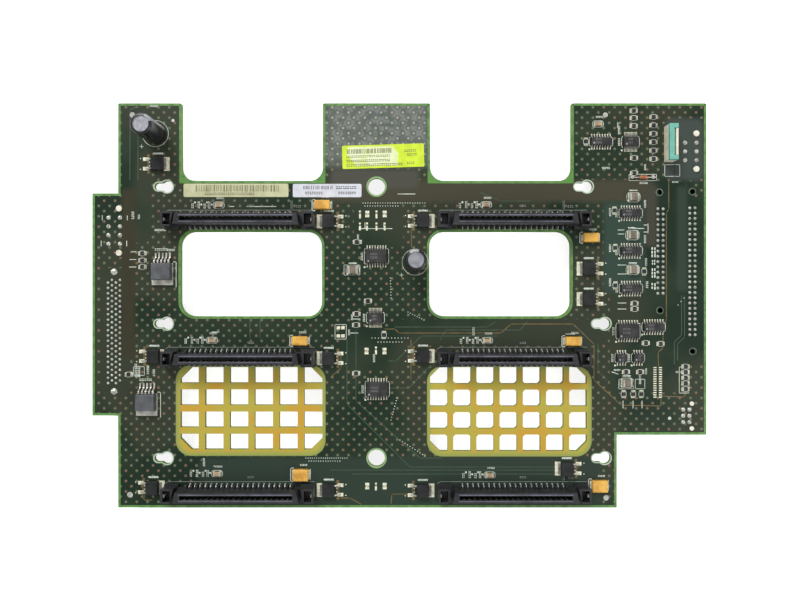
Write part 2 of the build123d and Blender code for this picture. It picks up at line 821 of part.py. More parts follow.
# High-density connector on the rear: four staggered columns of pins behind a tongued cavity
dense_tongue_length = dense_cavity_length - dense_cavity_width + dense_tongue_width
with BuildPart() as dense_housing:
    with BuildSketch(level(dense_x, dense_y, board_bottom)):
        Rectangle(dense_width, dense_length)
    extrude(amount=-dense_height)
    with BuildSketch(level(dense_x, dense_y, board_bottom - dense_height)):
        Rectangle(dense_cavity_width, dense_cavity_length)
        Rectangle(dense_tongue_width, dense_tongue_length, mode=Mode.SUBTRACT)
    extrude(amount=dense_cavity_depth, mode=Mode.SUBTRACT)
export(dense_housing.part, "dense_connector_housing")

dense_board_locks = box_solids(
    [(dense_x, dense_y - dense_boss_spacing / 2), (dense_x, dense_y + dense_boss_spacing / 2)],
    2 * dense_boss_radius,
    dense_boss_radius,
    board_bottom,
    pin_end,
)
dense_half = (dense_rows - 1) / 2
dense_places = []
for column in range(4):
    stagger = dense_pitch / 4 if column % 2 else -dense_pitch / 4
    column_x_offset = (column - 1.5) * dense_column_pitch
    for row in range(dense_rows):
        contact_y = dense_y + (row - dense_half) * dense_pitch + stagger
        dense_places += [(dense_x + column_x_offset, contact_y)]

with BuildPart() as dense_contacts:
    with BuildSketch(Plane.XY.offset(board_bottom)):
        with Locations(*dense_places):
            Rectangle(rear_pin_width, rear_pin_width)
    extrude(amount=pin_end - board_bottom)
export(dense_contacts.part, "dense_connector_contacts")
export(dense_board_locks.part, "dense_connector_locks")


@dataclass
class PowerFamily:
    """Sizes that the power headers of one pitch share."""

    pitch: float
    column_pitch: float
    depth: float
    height: float
    cell: float
    peg_outset: float
    peg_radius: float
    pin_width: float


# Power headers on the rear: square cells open to the rear, ears with pegs through the board
coarse = PowerFamily(
    power_pitch,
    power_column_pitch,
    power_depth,
    power_height,
    power_cell,
    power_peg_outset,
    power_peg_radius,
    power_pin_width,
)
fine = PowerFamily(
    fine_power_pitch,
    fine_power_pitch,
    fine_power_depth,
    fine_power_height,
    fine_power_cell,
    fine_power_peg_outset,
    fine_power_peg_radius,
    fine_power_pin_width,
)
power_headers = [
    ("power_header_8", coarse, 4, power_8_x, power_8_y),
    ("power_header_6", coarse, 3, power_6_x, power_6_y),
    ("fan_header", fine, 3, fine_power_x, fine_power_y),
]
for name, family, rows, x, y in power_headers:
    peg_y = rows * family.pitch / 2 + family.peg_outset
    peg_places = [(power_peg_offset, -peg_y), (power_peg_offset, peg_y)]
    ear_size = 2 * family.peg_radius + power_ear_margin
    with BuildPart() as power_housing:
        with BuildSketch(level(x, y, board_bottom)):
            Rectangle(family.depth, rows * family.pitch + family.pitch - family.cell)
        extrude(amount=-family.height)
        # The ramp on the inner side holds the plug's latch
        inner = 1 if x < 0 else -1
        ramp_foot = (x + inner * family.depth / 2, y, board_bottom - family.height)
        ramp_root = Plane(origin=ramp_foot, x_dir=(1, 0, 0), z_dir=(0, -1, 0))
        with BuildSketch(ramp_root):
            with BuildLine():
                Polyline(
                    (0, ramp_start),
                    (inner * ramp_rise, ramp_start + ramp_length),
                    (0, ramp_start + ramp_length),
                    close=True,
                )
            make_face()
        extrude(amount=family.pitch / 2, both=True)
        with BuildSketch(level(x, y, board_bottom)):
            with Locations(*peg_places):
                Rectangle(ear_size, ear_size)
        extrude(amount=-power_ear_height)
        with BuildSketch(level(x, y, board_bottom)):
            with Locations(*peg_places):
                RegularPolygon(family.peg_radius, peg_sides)
        extrude(amount=board_thickness + pin_tip)
        with BuildSketch(level(x, y, board_bottom - family.height)):
            with GridLocations(family.column_pitch, family.pitch, 2, rows):
                Rectangle(family.cell, family.cell)
        extrude(amount=family.height - power_floor, mode=Mode.SUBTRACT)
    export(power_housing.part, name)

with BuildPart() as power_pins:
    for name, family, rows, x, y in power_headers:
        with BuildSketch(level(x, y, board_bottom - family.height + power_pin_recess)):
            with GridLocations(family.column_pitch, family.pitch, 2, rows):
                Rectangle(family.pin_width, family.pin_width)
        extrude(amount=family.height - power_pin_recess + board_thickness + pin_tip)
export(power_pins.part, "power_header_pins")

# Shrouded pin headers on the rear: place, rows of pins and how far the pegs stand beyond the pins
box_headers = [
    ("header_34", header_34_x, header_34_y, 17, shroud_peg_outset_34),
    ("header_50", header_50_x, header_50_y, 25, shroud_peg_outset_50),
]
for name, x, y, rows, peg_outset in box_headers:
    pin_span = (rows - 1) * header_pitch
    hole_y = pin_span / 2 + peg_outset
    with BuildPart() as shroud:
        with BuildSketch(level(x, y, board_bottom)):
            Rectangle(shroud_width, pin_span + 2 * shroud_end + 2 * header_pitch)
        extrude(amount=-shroud_height)
        with BuildSketch(level(x, y, board_bottom)):
            Rectangle(shroud_flange_width, 2 * hole_y + shroud_flange_width)
        extrude(amount=-shroud_flange_height)
        with BuildSketch(level(x, y, board_bottom)):
            with Locations((0, -hole_y), (0, hole_y)):
                RegularPolygon(shroud_peg_radius, peg_sides)
        extrude(amount=board_thickness)
        with BuildSketch(level(x, y, board_bottom - shroud_height)):
            Rectangle(shroud_cavity_width, pin_span + 2 * shroud_end)
            with Locations((-shroud_width / 2, 0)):
                Rectangle(shroud_width, shroud_key_width)
        extrude(amount=shroud_cavity_depth, mode=Mode.SUBTRACT)
    export(shroud.part, f"{name}_shroud")

with BuildPart() as header_pins:
    for name, x, y, rows, peg_outset in box_headers:
        with BuildSketch(level(x, y, board_bottom - shroud_height + header_pin_recess)):
            with GridLocations(header_pitch, header_pitch, 2, rows):
                Rectangle(header_pin_width, header_pin_width)
        extrude(amount=shroud_height - header_pin_recess + board_thickness + pin_tip)
export(header_pins.part, "header_pins")

# Paper labels stuck to the board
labels = [
    (barcode_label, notch_1_left + 26.1, notch_floor - 4.6, 0),
    (white_label, notch_1_right + 2.1, notch_floor - 4.7, 0),
    (bright_label, spine_x + 3.2, notch_floor + 11.8, bright_label_turn),
]
with BuildPart() as paper_labels:
    for (length, width), x, y, turn in labels:
        with BuildSketch(level(x, y)):
            Rectangle(length, width, rotation=turn)
        extrude(amount=label_thickness)
export(paper_labels.part, "labels")
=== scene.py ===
"""Drive backplane board: the visual model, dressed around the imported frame."""

import json
import logging
import math
import random
from dataclasses import dataclass, field
from enum import Enum

import bmesh
import bpy
from mathutils import Matrix, Vector

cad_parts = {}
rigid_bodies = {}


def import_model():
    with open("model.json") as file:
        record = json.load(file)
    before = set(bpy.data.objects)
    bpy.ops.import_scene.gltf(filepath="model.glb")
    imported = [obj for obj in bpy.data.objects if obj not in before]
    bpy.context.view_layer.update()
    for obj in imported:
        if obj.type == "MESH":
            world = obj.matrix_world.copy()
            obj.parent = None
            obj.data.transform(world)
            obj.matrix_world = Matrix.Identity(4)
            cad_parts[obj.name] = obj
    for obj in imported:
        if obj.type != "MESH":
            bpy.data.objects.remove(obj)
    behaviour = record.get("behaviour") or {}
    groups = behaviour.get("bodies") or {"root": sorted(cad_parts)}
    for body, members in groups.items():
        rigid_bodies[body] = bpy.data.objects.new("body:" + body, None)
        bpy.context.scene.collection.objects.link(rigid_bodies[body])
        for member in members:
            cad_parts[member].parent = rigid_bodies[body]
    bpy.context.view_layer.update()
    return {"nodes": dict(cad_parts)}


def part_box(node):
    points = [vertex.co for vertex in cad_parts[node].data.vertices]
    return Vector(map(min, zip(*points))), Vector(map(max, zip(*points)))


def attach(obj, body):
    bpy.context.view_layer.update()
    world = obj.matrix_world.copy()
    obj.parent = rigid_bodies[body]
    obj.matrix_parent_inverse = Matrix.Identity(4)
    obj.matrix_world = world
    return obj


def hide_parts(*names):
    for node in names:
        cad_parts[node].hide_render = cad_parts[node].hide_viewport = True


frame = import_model()

MM = 0.001
BOARD_BODY = "board_assembly"
LATCH_BODY = "cable_latch"
LOG = logging.getLogger("backplane")
RANDOM = random.Random(5)
SOCKETS = range(1, 7)
# Points and levels nearer than these, in metres, count as one
SAME_POINT = 0.000002
SAME_LEVEL = 0.00002
# Thinnest inset in metres, and the widest bevel in millimetres that one segment can round
LEAST_INSET = 0.00002
FINE_BEVEL = 0.1
# Place of the frame's axis in the reference picture, and its pixels to the millimetre
PICTURE_AXIS = (399.4, 305.4)
PICTURE_SCALE = 2.08

Span = tuple[Vector, Vector]
Spot = tuple[float, float]


class Way(Enum):
    """Which way a small part or a row of marks runs on the board."""

    ACROSS = 0
    ALONG = 90


def tone(red: int, green: int, blue: int) -> tuple[float, float, float, float]:
    """Turn a display colour into the linear one that shaders take.

    Args:
        red: Display red, 0 to 255.
        green: Display green, 0 to 255.
        blue: Display blue, 0 to 255.

    Returns:
        Linear red, green and blue with full alpha.
    """
    shares = [channel / 255 for channel in (red, green, blue)]
    linear = [share / 12.92 if share <= 0.04045 else ((share + 0.055) / 1.055) ** 2.4 for share in shares]
    return linear[0], linear[1], linear[2], 1.0


# Finishes


@dataclass(frozen=True)
class Finish:
    """A surface finish with mottled colour, uneven gloss and a fine relief.

    Attributes:
        title: The material's name.
        slot: The record's slot that it belongs to; not used.
        colour: Main display colour.
        shade: Display colour of the darker patches.
        roughness: Mean roughness.
        metallic: 1 for bare metal, 0 for the rest.
        patch: Size of the colour patches in metres.
        grain: Size of the fine relief in metres.
        relief: Depth of the fine relief in metres.
        clear: How much light passes, for glass.
        sheen: Strength of the plain reflection.
    """

    title: str
    slot: str
    colour: tuple[int, int, int]
    shade: tuple[int, int, int]
    roughness: float = 0.5
    metallic: float = 0.0
    patch: float = 0.004
    grain: float = 0.0003
    relief: float = 0.00001
    clear: float = 0.0
    sheen: float = 0.5

    def material(self) -> bpy.types.Material:
        """Build the material, or return it if it is there already.

        Returns:
            The finish as a node material.
        """
        made = bpy.data.materials.get(self.title)
        if made:
            return made
        made = bpy.data.materials.new(self.title)
        made.use_nodes = True
        sheet = ShaderSheet(made)
        sheet.surface.inputs["Metallic"].default_value = self.metallic
        sheet.surface.inputs["Specular IOR Level"].default_value = self.sheen
        if self.clear:
            sheet.surface.inputs["Transmission Weight"].default_value = self.clear
        patches = sheet.noise(1 / self.patch, 3.0)
        sheet.link(sheet.mix(patches, tone(*self.shade), tone(*self.colour), 0.35, 0.6), "Base Color")
        gloss = sheet.spread(sheet.noise(0.4 / self.grain, 2.0), self.roughness - 0.08, self.roughness + 0.08)
        sheet.link(gloss, "Roughness")
        sheet.relief(sheet.noise(1 / self.grain, 2.0), self.relief)
        return made


class ShaderSheet:
    """Short words for the nodes that the finishes share."""

    def __init__(self, material: bpy.types.Material) -> None:
        """Start from the material's own shader.

        Args:
            material: A material that uses nodes.
        """
        self.nodes = material.node_tree.nodes
        self.links = material.node_tree.links
        self.surface = self.nodes["Principled BSDF"]
        self.place = self.nodes.new("ShaderNodeTexCoord").outputs["Object"]

    def link(self, source: bpy.types.NodeSocket, target: str) -> None:
        """Plug a socket into one of the shader's inputs."""
        self.links.new(source, self.surface.inputs[target])

    def noise(self, scale: float, detail: float) -> bpy.types.NodeSocket:
        """Add soft noise.

        Args:
            scale: Cycles to the metre.
            detail: Octaves of finer noise.

        Returns:
            The noise value's socket.
        """
        node = self.nodes.new("ShaderNodeTexNoise")
        node.inputs["Scale"].default_value = scale
        node.inputs["Detail"].default_value = detail
        self.links.new(self.place, node.inputs["Vector"])
        return node.outputs["Fac"]

    def spread(self, value: bpy.types.NodeSocket, low: float, high: float) -> bpy.types.NodeSocket:
        """Spread a value from 0 to 1 over another range.

        Args:
            value: A socket from 0 to 1.
            low: What 0 becomes.
            high: What 1 becomes.

        Returns:
            The spread value's socket.
        """
        node = self.nodes.new("ShaderNodeMapRange")
        node.inputs["To Min"].default_value = low
        node.inputs["To Max"].default_value = high
        self.links.new(value, node.inputs["Value"])
        return node.outputs["Result"]

    def mix(
        self,
        value: bpy.types.NodeSocket,
        first: object,
        second: object,
        low: float = 0.0,
        high: float = 1.0,
    ) -> bpy.types.NodeSocket:
        """Blend two colours by a value.

        Args:
            value: What decides between them.
            first: Colour or socket where the value is at low.
            second: Colour or socket where the value is at high.
            low: The value below which only the first shows.
            high: The value above which only the second shows.

        Returns:
            The blended colour's socket.
        """
        ramp = self.nodes.new("ShaderNodeMapRange")
        ramp.inputs["From Min"].default_value = low
        ramp.inputs["From Max"].default_value = high
        self.links.new(value, ramp.inputs["Value"])
        node = self.nodes.new("ShaderNodeMix")
        node.data_type = "RGBA"
        self.links.new(ramp.outputs["Result"], node.inputs["Factor"])
        for source, key in ((first, 6), (second, 7)):
            if isinstance(source, bpy.types.NodeSocket):
                self.links.new(source, node.inputs[key])
            else:
                node.inputs[key].default_value = source
        return node.outputs[2]

    def maths(self, operation: str, first: object, second: object = 0.0) -> bpy.types.NodeSocket:
        """Combine two values or sockets.

        Args:
            operation: The Math node's operation.
            first: A number or a socket.
            second: A number or a socket.

        Returns:
            The result's socket.
        """
        node = self.nodes.new("ShaderNodeMath")
        node.operation = operation
        for index, source in enumerate((first, second)):
            if isinstance(source, bpy.types.NodeSocket):
                self.links.new(source, node.inputs[index])
            else:
                node.inputs[index].default_value = source
        return node.outputs[0]

    def vectors(self, operation: str, first: bpy.types.NodeSocket, second: Vector) -> bpy.types.Node:
        """Combine a vector socket with a fixed vector.

        Args:
            operation: The Vector Math node's operation.
            first: A vector socket.
            second: The fixed vector.

        Returns:
            The node.
        """
        node = self.nodes.new("ShaderNodeVectorMath")
        node.operation = operation
        self.links.new(first, node.inputs[0])
        node.inputs[1].default_value = second
        return node

    def zone(self, low: Spot, high: Spot, radius: float) -> bpy.types.NodeSocket:
        """Measure how far a point lies outside a rounded rectangle.

        Args:
            low: Lower left corner in millimetres.
            high: Upper right corner in millimetres.
            radius: Corner radius in millimetres.

        Returns:
            Distance in metres, negative inside.
        """
        centre = Vector(((low[0] + high[0]) / 2, (low[1] + high[1]) / 2, 0)) * MM
        half = Vector(((high[0] - low[0]) / 2 - radius, (high[1] - low[1]) / 2 - radius, 1000)) * MM
        shifted = self.vectors("SUBTRACT", self.place, centre).outputs[0]
        mirrored = self.vectors("ABSOLUTE", shifted, centre).outputs[0]
        beyond = self.vectors("SUBTRACT", mirrored, half).outputs[0]
        outside = self.vectors("MAXIMUM", beyond, Vector((0, 0, 0))).outputs[0]
        length = self.vectors("LENGTH", outside, centre).outputs["Value"]
        return self.maths("SUBTRACT", length, radius * MM)

    def axes(self) -> tuple[bpy.types.NodeSocket, bpy.types.NodeSocket]:
        """Take X and Y of the object coordinates.

        Returns:
            The sockets of X and Y.
        """
        node = self.nodes.new("ShaderNodeSeparateXYZ")
        self.links.new(self.place, node.inputs[0])
        return node.outputs[0], node.outputs[1]

    def relief(self, height: bpy.types.NodeSocket, depth: float) -> None:
        """Bump the surface by a height socket, as deep as depth in metres.

        Args:
            height: A socket from 0 to 1.
            depth: Depth of the bumps in metres.
        """
        node = self.nodes.new("ShaderNodeBump")
        node.inputs["Strength"].default_value = 1.0
        node.inputs["Distance"].default_value = depth
        self.links.new(height, node.inputs["Height"])
        self.links.new(node.outputs["Normal"], self.surface.inputs["Normal"])


BLACK_PLASTIC = Finish("black moulded plastic", "black_housing", (42, 43, 45), (28, 29, 31), 0.36,
                       grain=0.0004)
PALE_CONTACT = Finish("tinned contact", "plated_contact", (206, 204, 192), (150, 148, 138), 0.35, 0.8)
TIN = Finish("dull tin", "tinned_metal", (206, 204, 196), (156, 153, 144), 0.38, 0.6)
WORN_TIN = Finish("worn tab", "tinned_metal", (150, 149, 140), (112, 111, 103), 0.45, 0.4, patch=0.002)
CHIP_INK = Finish("faint chip marking", "moulded_body", (104, 107, 110), (88, 90, 93), 0.6)
SOLDER = Finish("solder joint", "tinned_metal", (204, 207, 199), (160, 163, 153), 0.34, 0.35, patch=0.002)
TAIL = Finish("dull solder", "tinned_metal", (160, 162, 156), (118, 120, 114), 0.45, 0.3, patch=0.002)
CAN = Finish("drawn aluminium", "can_aluminium", (166, 167, 174), (138, 139, 146), 0.42, 0.7, patch=0.002)
SLEEVE = Finish("black sleeve film", "black_sleeve", (30, 30, 34), (20, 20, 23), 0.3)
STRIPE = Finish("grey sleeve stripe", "black_sleeve", (150, 152, 156), (128, 130, 134), 0.35)
MOULDING = Finish("dark moulding", "moulded_body", (54, 54, 53), (38, 38, 38), 0.55, grain=0.0002, sheen=0.3)
DARK_MOULDING = Finish("black moulding", "moulded_body", (40, 42, 41), (28, 29, 29), 0.5,
                       grain=0.0002, sheen=0.25)
GREY_MOULDING = Finish("grey moulding", "moulded_body", (84, 87, 90), (66, 68, 71), 0.5, grain=0.0002)
AMBER = Finish("amber moulding", "amber_moulding", (222, 172, 74), (190, 138, 52), 0.45, grain=0.0003)
FILM = Finish("resistor film", "resistor_film", (46, 46, 50), (32, 32, 36), 0.35, grain=0.0002)
CERAMIC = Finish("tan ceramic", "tan_ceramic", (176, 148, 112), (146, 118, 86), 0.5, grain=0.0002)
FERRITE = Finish("brown ferrite", "dark_ferrite", (124, 112, 98), (96, 86, 76), 0.6,
                 grain=0.0002, relief=0.00002)
GLASS = Finish("amber glass", "clear_glass", (214, 142, 96), (176, 98, 60), 0.12, clear=0.5)
CREAM = Finish("cream plastic", "cream_plastic", (222, 220, 198), (204, 201, 178), 0.45)
TEAL = Finish("pale teal plastic", "teal_plastic", (112, 178, 162), (96, 160, 145), 0.42)
NYLON = Finish("uncoloured nylon", "natural_nylon", (222, 218, 202), (204, 199, 180), 0.45)
PAPER = Finish("white label", "label_paper", (203, 205, 212), (190, 192, 200), 0.5)
CREAM_PAPER = Finish("cream label", "label_paper", (190, 191, 153), (176, 176, 136), 0.5)
BRIGHT_PAPER = Finish("yellow green label", "label_paper", (198, 222, 44), (184, 208, 34), 0.5)
INK = Finish("label ink", "label_paper", (44, 46, 44), (30, 32, 30), 0.6)
SILK = Finish("white marking ink", "laminate", (214, 220, 208), (176, 184, 170), 0.6)
THIN_SILK = Finish("thin marking ink", "laminate", (136, 144, 138), (106, 114, 108), 0.6)
# Painted highlight: a light bluish grey for the light that the walls of each slot catch
HIGHLIGHT_LIP = Finish("lip with painted highlight", "moulded_body", (100, 100, 116), (72, 72, 84), 0.3, patch=0.008)
MARGIN = Finish("bare green margin", "laminate", (92, 138, 68), (70, 112, 52), 0.5, patch=0.003)
EDGE = Finish("sawn laminate edge", "laminate", (120, 146, 72), (92, 116, 54), 0.7, patch=0.001)
COPPER = Finish("masked trace", "laminate", (112, 92, 52), (84, 78, 46), 0.4)
DIM_COPPER = Finish("deep trace", "laminate", (58, 84, 62), (48, 70, 52), 0.4)
RIM = Finish("pale hole rim", "laminate", (172, 188, 168), (142, 164, 138), 0.5)
RING = Finish("green hole ring", "laminate", (134, 164, 112), (112, 144, 92), 0.5)
CREAM_PAD = Finish("solder coated pad", "laminate", (232, 230, 204), (192, 190, 166), 0.42, 0.1, patch=0.001)
# Painted highlight: pale patches for a glare over the bright label's left part
LABEL_GLARE = Finish("painted label glare", "label_paper", (216, 226, 182), (200, 216, 128), 0.5, patch=0.006)
BAR_INK = Finish("faded bar ink", "label_paper", (112, 106, 78), (88, 82, 60), 0.6)
PAD = Finish("tinned pad", "laminate", (206, 208, 196), (160, 162, 148), 0.35, 0.6)


# Bare laminate round the grids, copper pours and a painted reflection: corners, corner radius and colour if
# it differs
GRID_FIELDS = (((-107.45, -72.3), (-35.5, -28.6)), ((13.3, -72.6), (92.4, -29.3)))
POURS = (
    ((-133, 30), (-119.5, 95), 3, None),
    ((-133.6, -25), (-127, 56), 2, (51, 49, 33)),
    ((-35, 49.6), (122, 60.4), 3, (63, 61, 47)),
    ((-33, 56), (9.5, 65.6), 3, (70, 70, 62)),
    ((98, 6), (118, 50), 3, (46, 64, 55)),
    ((118, 28), (124, 58), 2, (60, 60, 50)),
    # Painted reflection: a grey haze over the upper right wing, where no vias are drawn
    ((127.5, 60), (146.6, 90), 4, (60, 68, 64)),
    ((-22, 28), (2, 50), 4, None),
    ((-29, -31), (4, -10), 4, None),
    ((-97, -97), (97, -73), 6, (41, 55, 45)),
    ((101, -42), (139, 60), 5, None),
    ((-2, -19.5), (99, -6.5), 3, None),
    ((-143, -43), (-130, 18), 1, None),
    ((134, -28), (147, 52), 1, None),
    ((133.6, 7), (138.2, 57), 1, (48, 62, 52)),
)
# Centre tab, painted with a reflection that fades out towards its edges: corners and corner radius
PAINTED_SHEEN_FIELD = ((-37, 67), (15, 99), 4)
# The mask stops at a square corner where the board's edge is round
NOTCH_FIELDS = (((-105.8, 58.7), (-35.6, 99)), ((13.6, 58.7), (83.8, 99)))
# Corner radii of those fields in millimetres
GRID_RADIUS = 7.5
NOTCH_RADIUS = 0.6

# Display colours of the mask, of the painted reflection on its centre tab and the painted shade round the
# vias there, of its vias and of the bare laminate
MASK_DARK, MASK_LIGHT, MASK_OLIVE = (22, 40, 27), (40, 53, 38), (47, 54, 40)
PAINTED_SHINE_LIGHT, PAINTED_SHINE_DARK, VIA_PAINTED_SHADE = (176, 178, 176), (132, 140, 134), (78, 88, 82)
VIA_WARM, VIA_COOL, VIA_PAINTED_SHINE = (118, 94, 78), (102, 106, 84), (168, 164, 150)
BARE_GREEN, BARE_TAN, BARE_RIM = (172, 158, 66), (186, 148, 54), (140, 150, 78)
NOTCH_GREEN = (88, 136, 64)


@dataclass(frozen=True)
class MaskFinish:
    """Dark green solder mask, with via lattices under it and bare laminate at the grids. Painted reflections
    lighten the centre tab and the upper right wing, and painted shade rings the vias on the tab.

    Attributes:
        title: The material's name.
        lattice_x: Pitch of the via lattice across the board, in metres.
        lattice_y: Pitch of the via lattice up the board, in metres.
        first: Place of one via of the lattice, in metres.
        dot: Radius of one via in metres.
    """

    title: str = "green solder mask"
    lattice_x: float = 5.22 * MM
    lattice_y: float = 4.99 * MM
    first: Spot = (4.28 * MM, 0.43 * MM)
    dot: float = 0.58 * MM

    def material(self) -> bpy.types.Material:
        """Build the material.

        Returns:
            The solder mask as a node material.
        """
        made = bpy.data.materials.new(self.title)
        made.use_nodes = True
        sheet = ShaderSheet(made)
        across, up = sheet.axes()
        broad = sheet.noise(38, 4.0)
        painted = sheet.mix(broad, tone(*MASK_DARK), tone(*MASK_LIGHT), 0.38, 0.62)
        painted = sheet.mix(sheet.noise(17, 1.5), painted, tone(*MASK_OLIVE), 0.52, 0.58)
        clear = None
        for low, high, radius, colour in POURS:
            distance = sheet.zone(low, high, radius)
            if colour:
                painted = sheet.mix(distance, tone(*colour), painted, -0.0016, 0.0012)
            clear = distance if clear is None else sheet.maths("MINIMUM", clear, distance)
        # Painted reflection: the centre tab is painted mottled pale grey, fading out towards its edges
        low, high, radius = PAINTED_SHEEN_FIELD
        sheen = sheet.zone(low, high, radius)
        painted_shine = sheet.mix(sheet.noise(320, 3.0), tone(*PAINTED_SHINE_LIGHT), tone(*PAINTED_SHINE_DARK), 0.42, 0.58)
        painted = sheet.mix(sheen, painted_shine, painted, -0.0145, 0.002)
        # Painted shade: a dark ring round each via on the centre tab
        via_shade_rings = sheet.maths("MAXIMUM", self.lattice(sheet, across, up), sheen)
        painted = sheet.mix(via_shade_rings, tone(*VIA_PAINTED_SHADE), painted, 0.0002, 0.0009)
        hue = sheet.mix(sheet.noise(210, 0.0), tone(*VIA_WARM), tone(*VIA_COOL), 0.4, 0.48)
        # Painted reflection: the vias on the centre tab are paler
        hue = sheet.mix(sheen, tone(*VIA_PAINTED_SHINE), hue, -0.006, 0.001)
        dots = sheet.maths("MAXIMUM", self.lattice(sheet, across, up), sheet.maths("MULTIPLY", clear, -1.0))
        painted = sheet.mix(dots, hue, painted, -0.00022, 0.00026)
        bare = sheet.mix(sheet.noise(70, 2.0), tone(*BARE_GREEN), tone(*BARE_TAN), 0.46, 0.62)
        for low, high in GRID_FIELDS:
            field = sheet.zone(low, high, GRID_RADIUS)
            rimmed = sheet.mix(field, bare, tone(*BARE_RIM), -0.0028, -0.0006)
            painted = sheet.mix(field, rimmed, painted, -0.0002, 0.0002)
        for low, high in NOTCH_FIELDS:
            corner = sheet.zone(low, high, NOTCH_RADIUS)
            painted = sheet.mix(corner, tone(*NOTCH_GREEN), painted, -0.0002, 0.0002)
        sheet.link(painted, "Base Color")
        sheet.link(sheet.spread(broad, 0.3, 0.42), "Roughness")
        sheet.surface.inputs["Specular IOR Level"].default_value = 0.22
        sheet.relief(sheet.noise(2200, 2.0), 0.000012)
        return made

    def lattice(
        self, sheet: ShaderSheet, across: bpy.types.NodeSocket, up: bpy.types.NodeSocket
    ) -> bpy.types.NodeSocket:
        """Measure how far a point lies outside the nearest via of a staggered lattice.

        Args:
            sheet: The material's nodes.
            across: X of the point.
            up: Y of the point.

        Returns:
            Distance to the via's rim, negative inside it.
        """
        ways = ((across, self.lattice_x, self.first[0]), (up, self.lattice_y, self.first[1]))
        nearest = None
        for shift in (0.0, 0.5):
            offsets = []
            for value, pitch, first in ways:
                turns = sheet.maths("DIVIDE", sheet.maths("SUBTRACT", value, first), pitch)
                cell = sheet.maths("FRACT", sheet.maths("ADD", turns, 100 + shift))
                offsets.append(sheet.maths("MULTIPLY", sheet.maths("SUBTRACT", cell, 0.5), pitch))
            squares = [sheet.maths("POWER", sheet.maths("ABSOLUTE", offset), 2.0) for offset in offsets]
            distance = sheet.maths("SQRT", sheet.maths("ADD", squares[0], squares[1]))
            nearest = distance if nearest is None else sheet.maths("MINIMUM", nearest, distance)
        return sheet.maths("SUBTRACT", nearest, self.dot)


# Modelling words


def deselect() -> None:
    """Clear the selection, because an operator acts on all that is selected."""
    bpy.ops.object.select_all(action="DESELECT")


def activate(piece: bpy.types.Object) -> None:
    """Make one object the only one selected.

    Args:
        piece: The object.
    """
    deselect()
    piece.select_set(True)
    bpy.context.view_layer.objects.active = piece


def settle(piece: bpy.types.Object) -> None:
    """Move an object's place and size into its mesh."""
    activate(piece)
    bpy.ops.object.transform_apply(location=True, rotation=True, scale=True)


def bevel(piece: bpy.types.Object, width: float, segments: int = 2) -> None:
    """Round an object's edges with an applied modifier.

    Args:
        piece: The object.
        width: Bevel width in metres.
        segments: Faces across each rounded edge.
    """
    activate(piece)
    modifier = piece.modifiers.new("edge", "BEVEL")
    modifier.width = width
    modifier.segments = segments
    modifier.limit_method = "ANGLE"
    bpy.ops.object.modifier_apply(modifier=modifier.name)


def finish_piece(
    piece: bpy.types.Object, finish: Finish, body: str = BOARD_BODY, stands_for: tuple[str, ...] = ()
) -> bpy.types.Object:
    """Paint a piece and let it ride.

    Args:
        piece: The finished shape, at the origin.
        finish: Its only finish.
        body: The CAD body that it rides on.
        stands_for: CAD nodes that it replaces.

    Returns:
        The same object.
    """
    piece.data.materials.clear()
    piece.data.materials.append(finish.material())
    return mount_piece(piece, body, stands_for)


def mount_piece(
    piece: bpy.types.Object, body: str = BOARD_BODY, stands_for: tuple[str, ...] = ()
) -> bpy.types.Object:
    """Give a painted piece its body and the nodes that it stands for.

    Args:
        piece: The finished and painted shape, at the origin.
        body: The CAD body that it rides on.
        stands_for: CAD nodes that it replaces.

    Returns:
        The same object.
    """
    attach(piece, body)
    if stands_for:
        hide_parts(*stands_for)
    LOG.info("%s: %d faces", piece.name, len(piece.data.polygons))
    return piece


def block(name: str, low: Vector, high: Vector) -> bpy.types.Object:
    """Start a piece from a cube between two corners.

    Args:
        name: The piece's name.
        low: Lowest corner in metres.
        high: Highest corner in metres.

    Returns:
        The cube, with its place in its mesh.
    """
    deselect()
    bpy.ops.mesh.primitive_cube_add(size=1, location=(low + high) / 2, scale=high - low)
    piece = bpy.context.object
    piece.name = name
    settle(piece)
    return piece


def disc(name: str, centre: Vector, radius: float, height: float, sides: int = 24) -> bpy.types.Object:
    """Start a piece from a cylinder that stands on a point.

    Args:
        name: The piece's name.
        centre: Middle of its foot in metres.
        radius: Radius in metres.
        height: Height in metres.
        sides: Faces around it.

    Returns:
        The cylinder, with its place in its mesh.
    """
    deselect()
    bpy.ops.mesh.primitive_cylinder_add(
        vertices=sides, radius=radius, depth=height, location=centre + Vector((0, 0, height / 2))
    )
    piece = bpy.context.object
    piece.name = name
    settle(piece)
    return piece


def edit_faces(piece: bpy.types.Object, chosen: list[int]) -> None:
    """Open an object in edit mode with only some faces selected.

    Args:
        piece: The object.
        chosen: Indices of the faces to select.
    """
    activate(piece)
    bpy.ops.object.mode_set(mode="EDIT")
    bpy.ops.mesh.select_mode(type="FACE")
    bpy.ops.mesh.select_all(action="DESELECT")
    bpy.ops.object.mode_set(mode="OBJECT")
    wanted = set(chosen)
    for polygon in piece.data.polygons:
        polygon.select = polygon.index in wanted
    bpy.ops.object.mode_set(mode="EDIT")


def close_edit() -> None:
    """Go back to object mode."""
    bpy.ops.object.mode_set(mode="OBJECT")


def facing_up(piece: bpy.types.Object, height: float) -> list[int]:
    """Find the faces that look up at one height.

    Args:
        piece: The object.
        height: Z of the faces in metres.

    Returns:
        Their indices.
    """
    faces = piece.data.polygons
    return [face.index for face in faces if face.normal.z > 0.9 and abs(face.center.z - height) < SAME_LEVEL]


def join(pieces: list[bpy.types.Object], name: str) -> bpy.types.Object:
    """Join several objects into one.

    Args:
        pieces: The objects, each with its place in its mesh.
        name: The joined piece's name.

    Returns:
        The joined object.
    """
    deselect()
    for piece in pieces:
        piece.select_set(True)
    bpy.context.view_layer.objects.active = pieces[0]
    bpy.ops.object.join()
    joined = bpy.context.object
    joined.name = name
    return joined


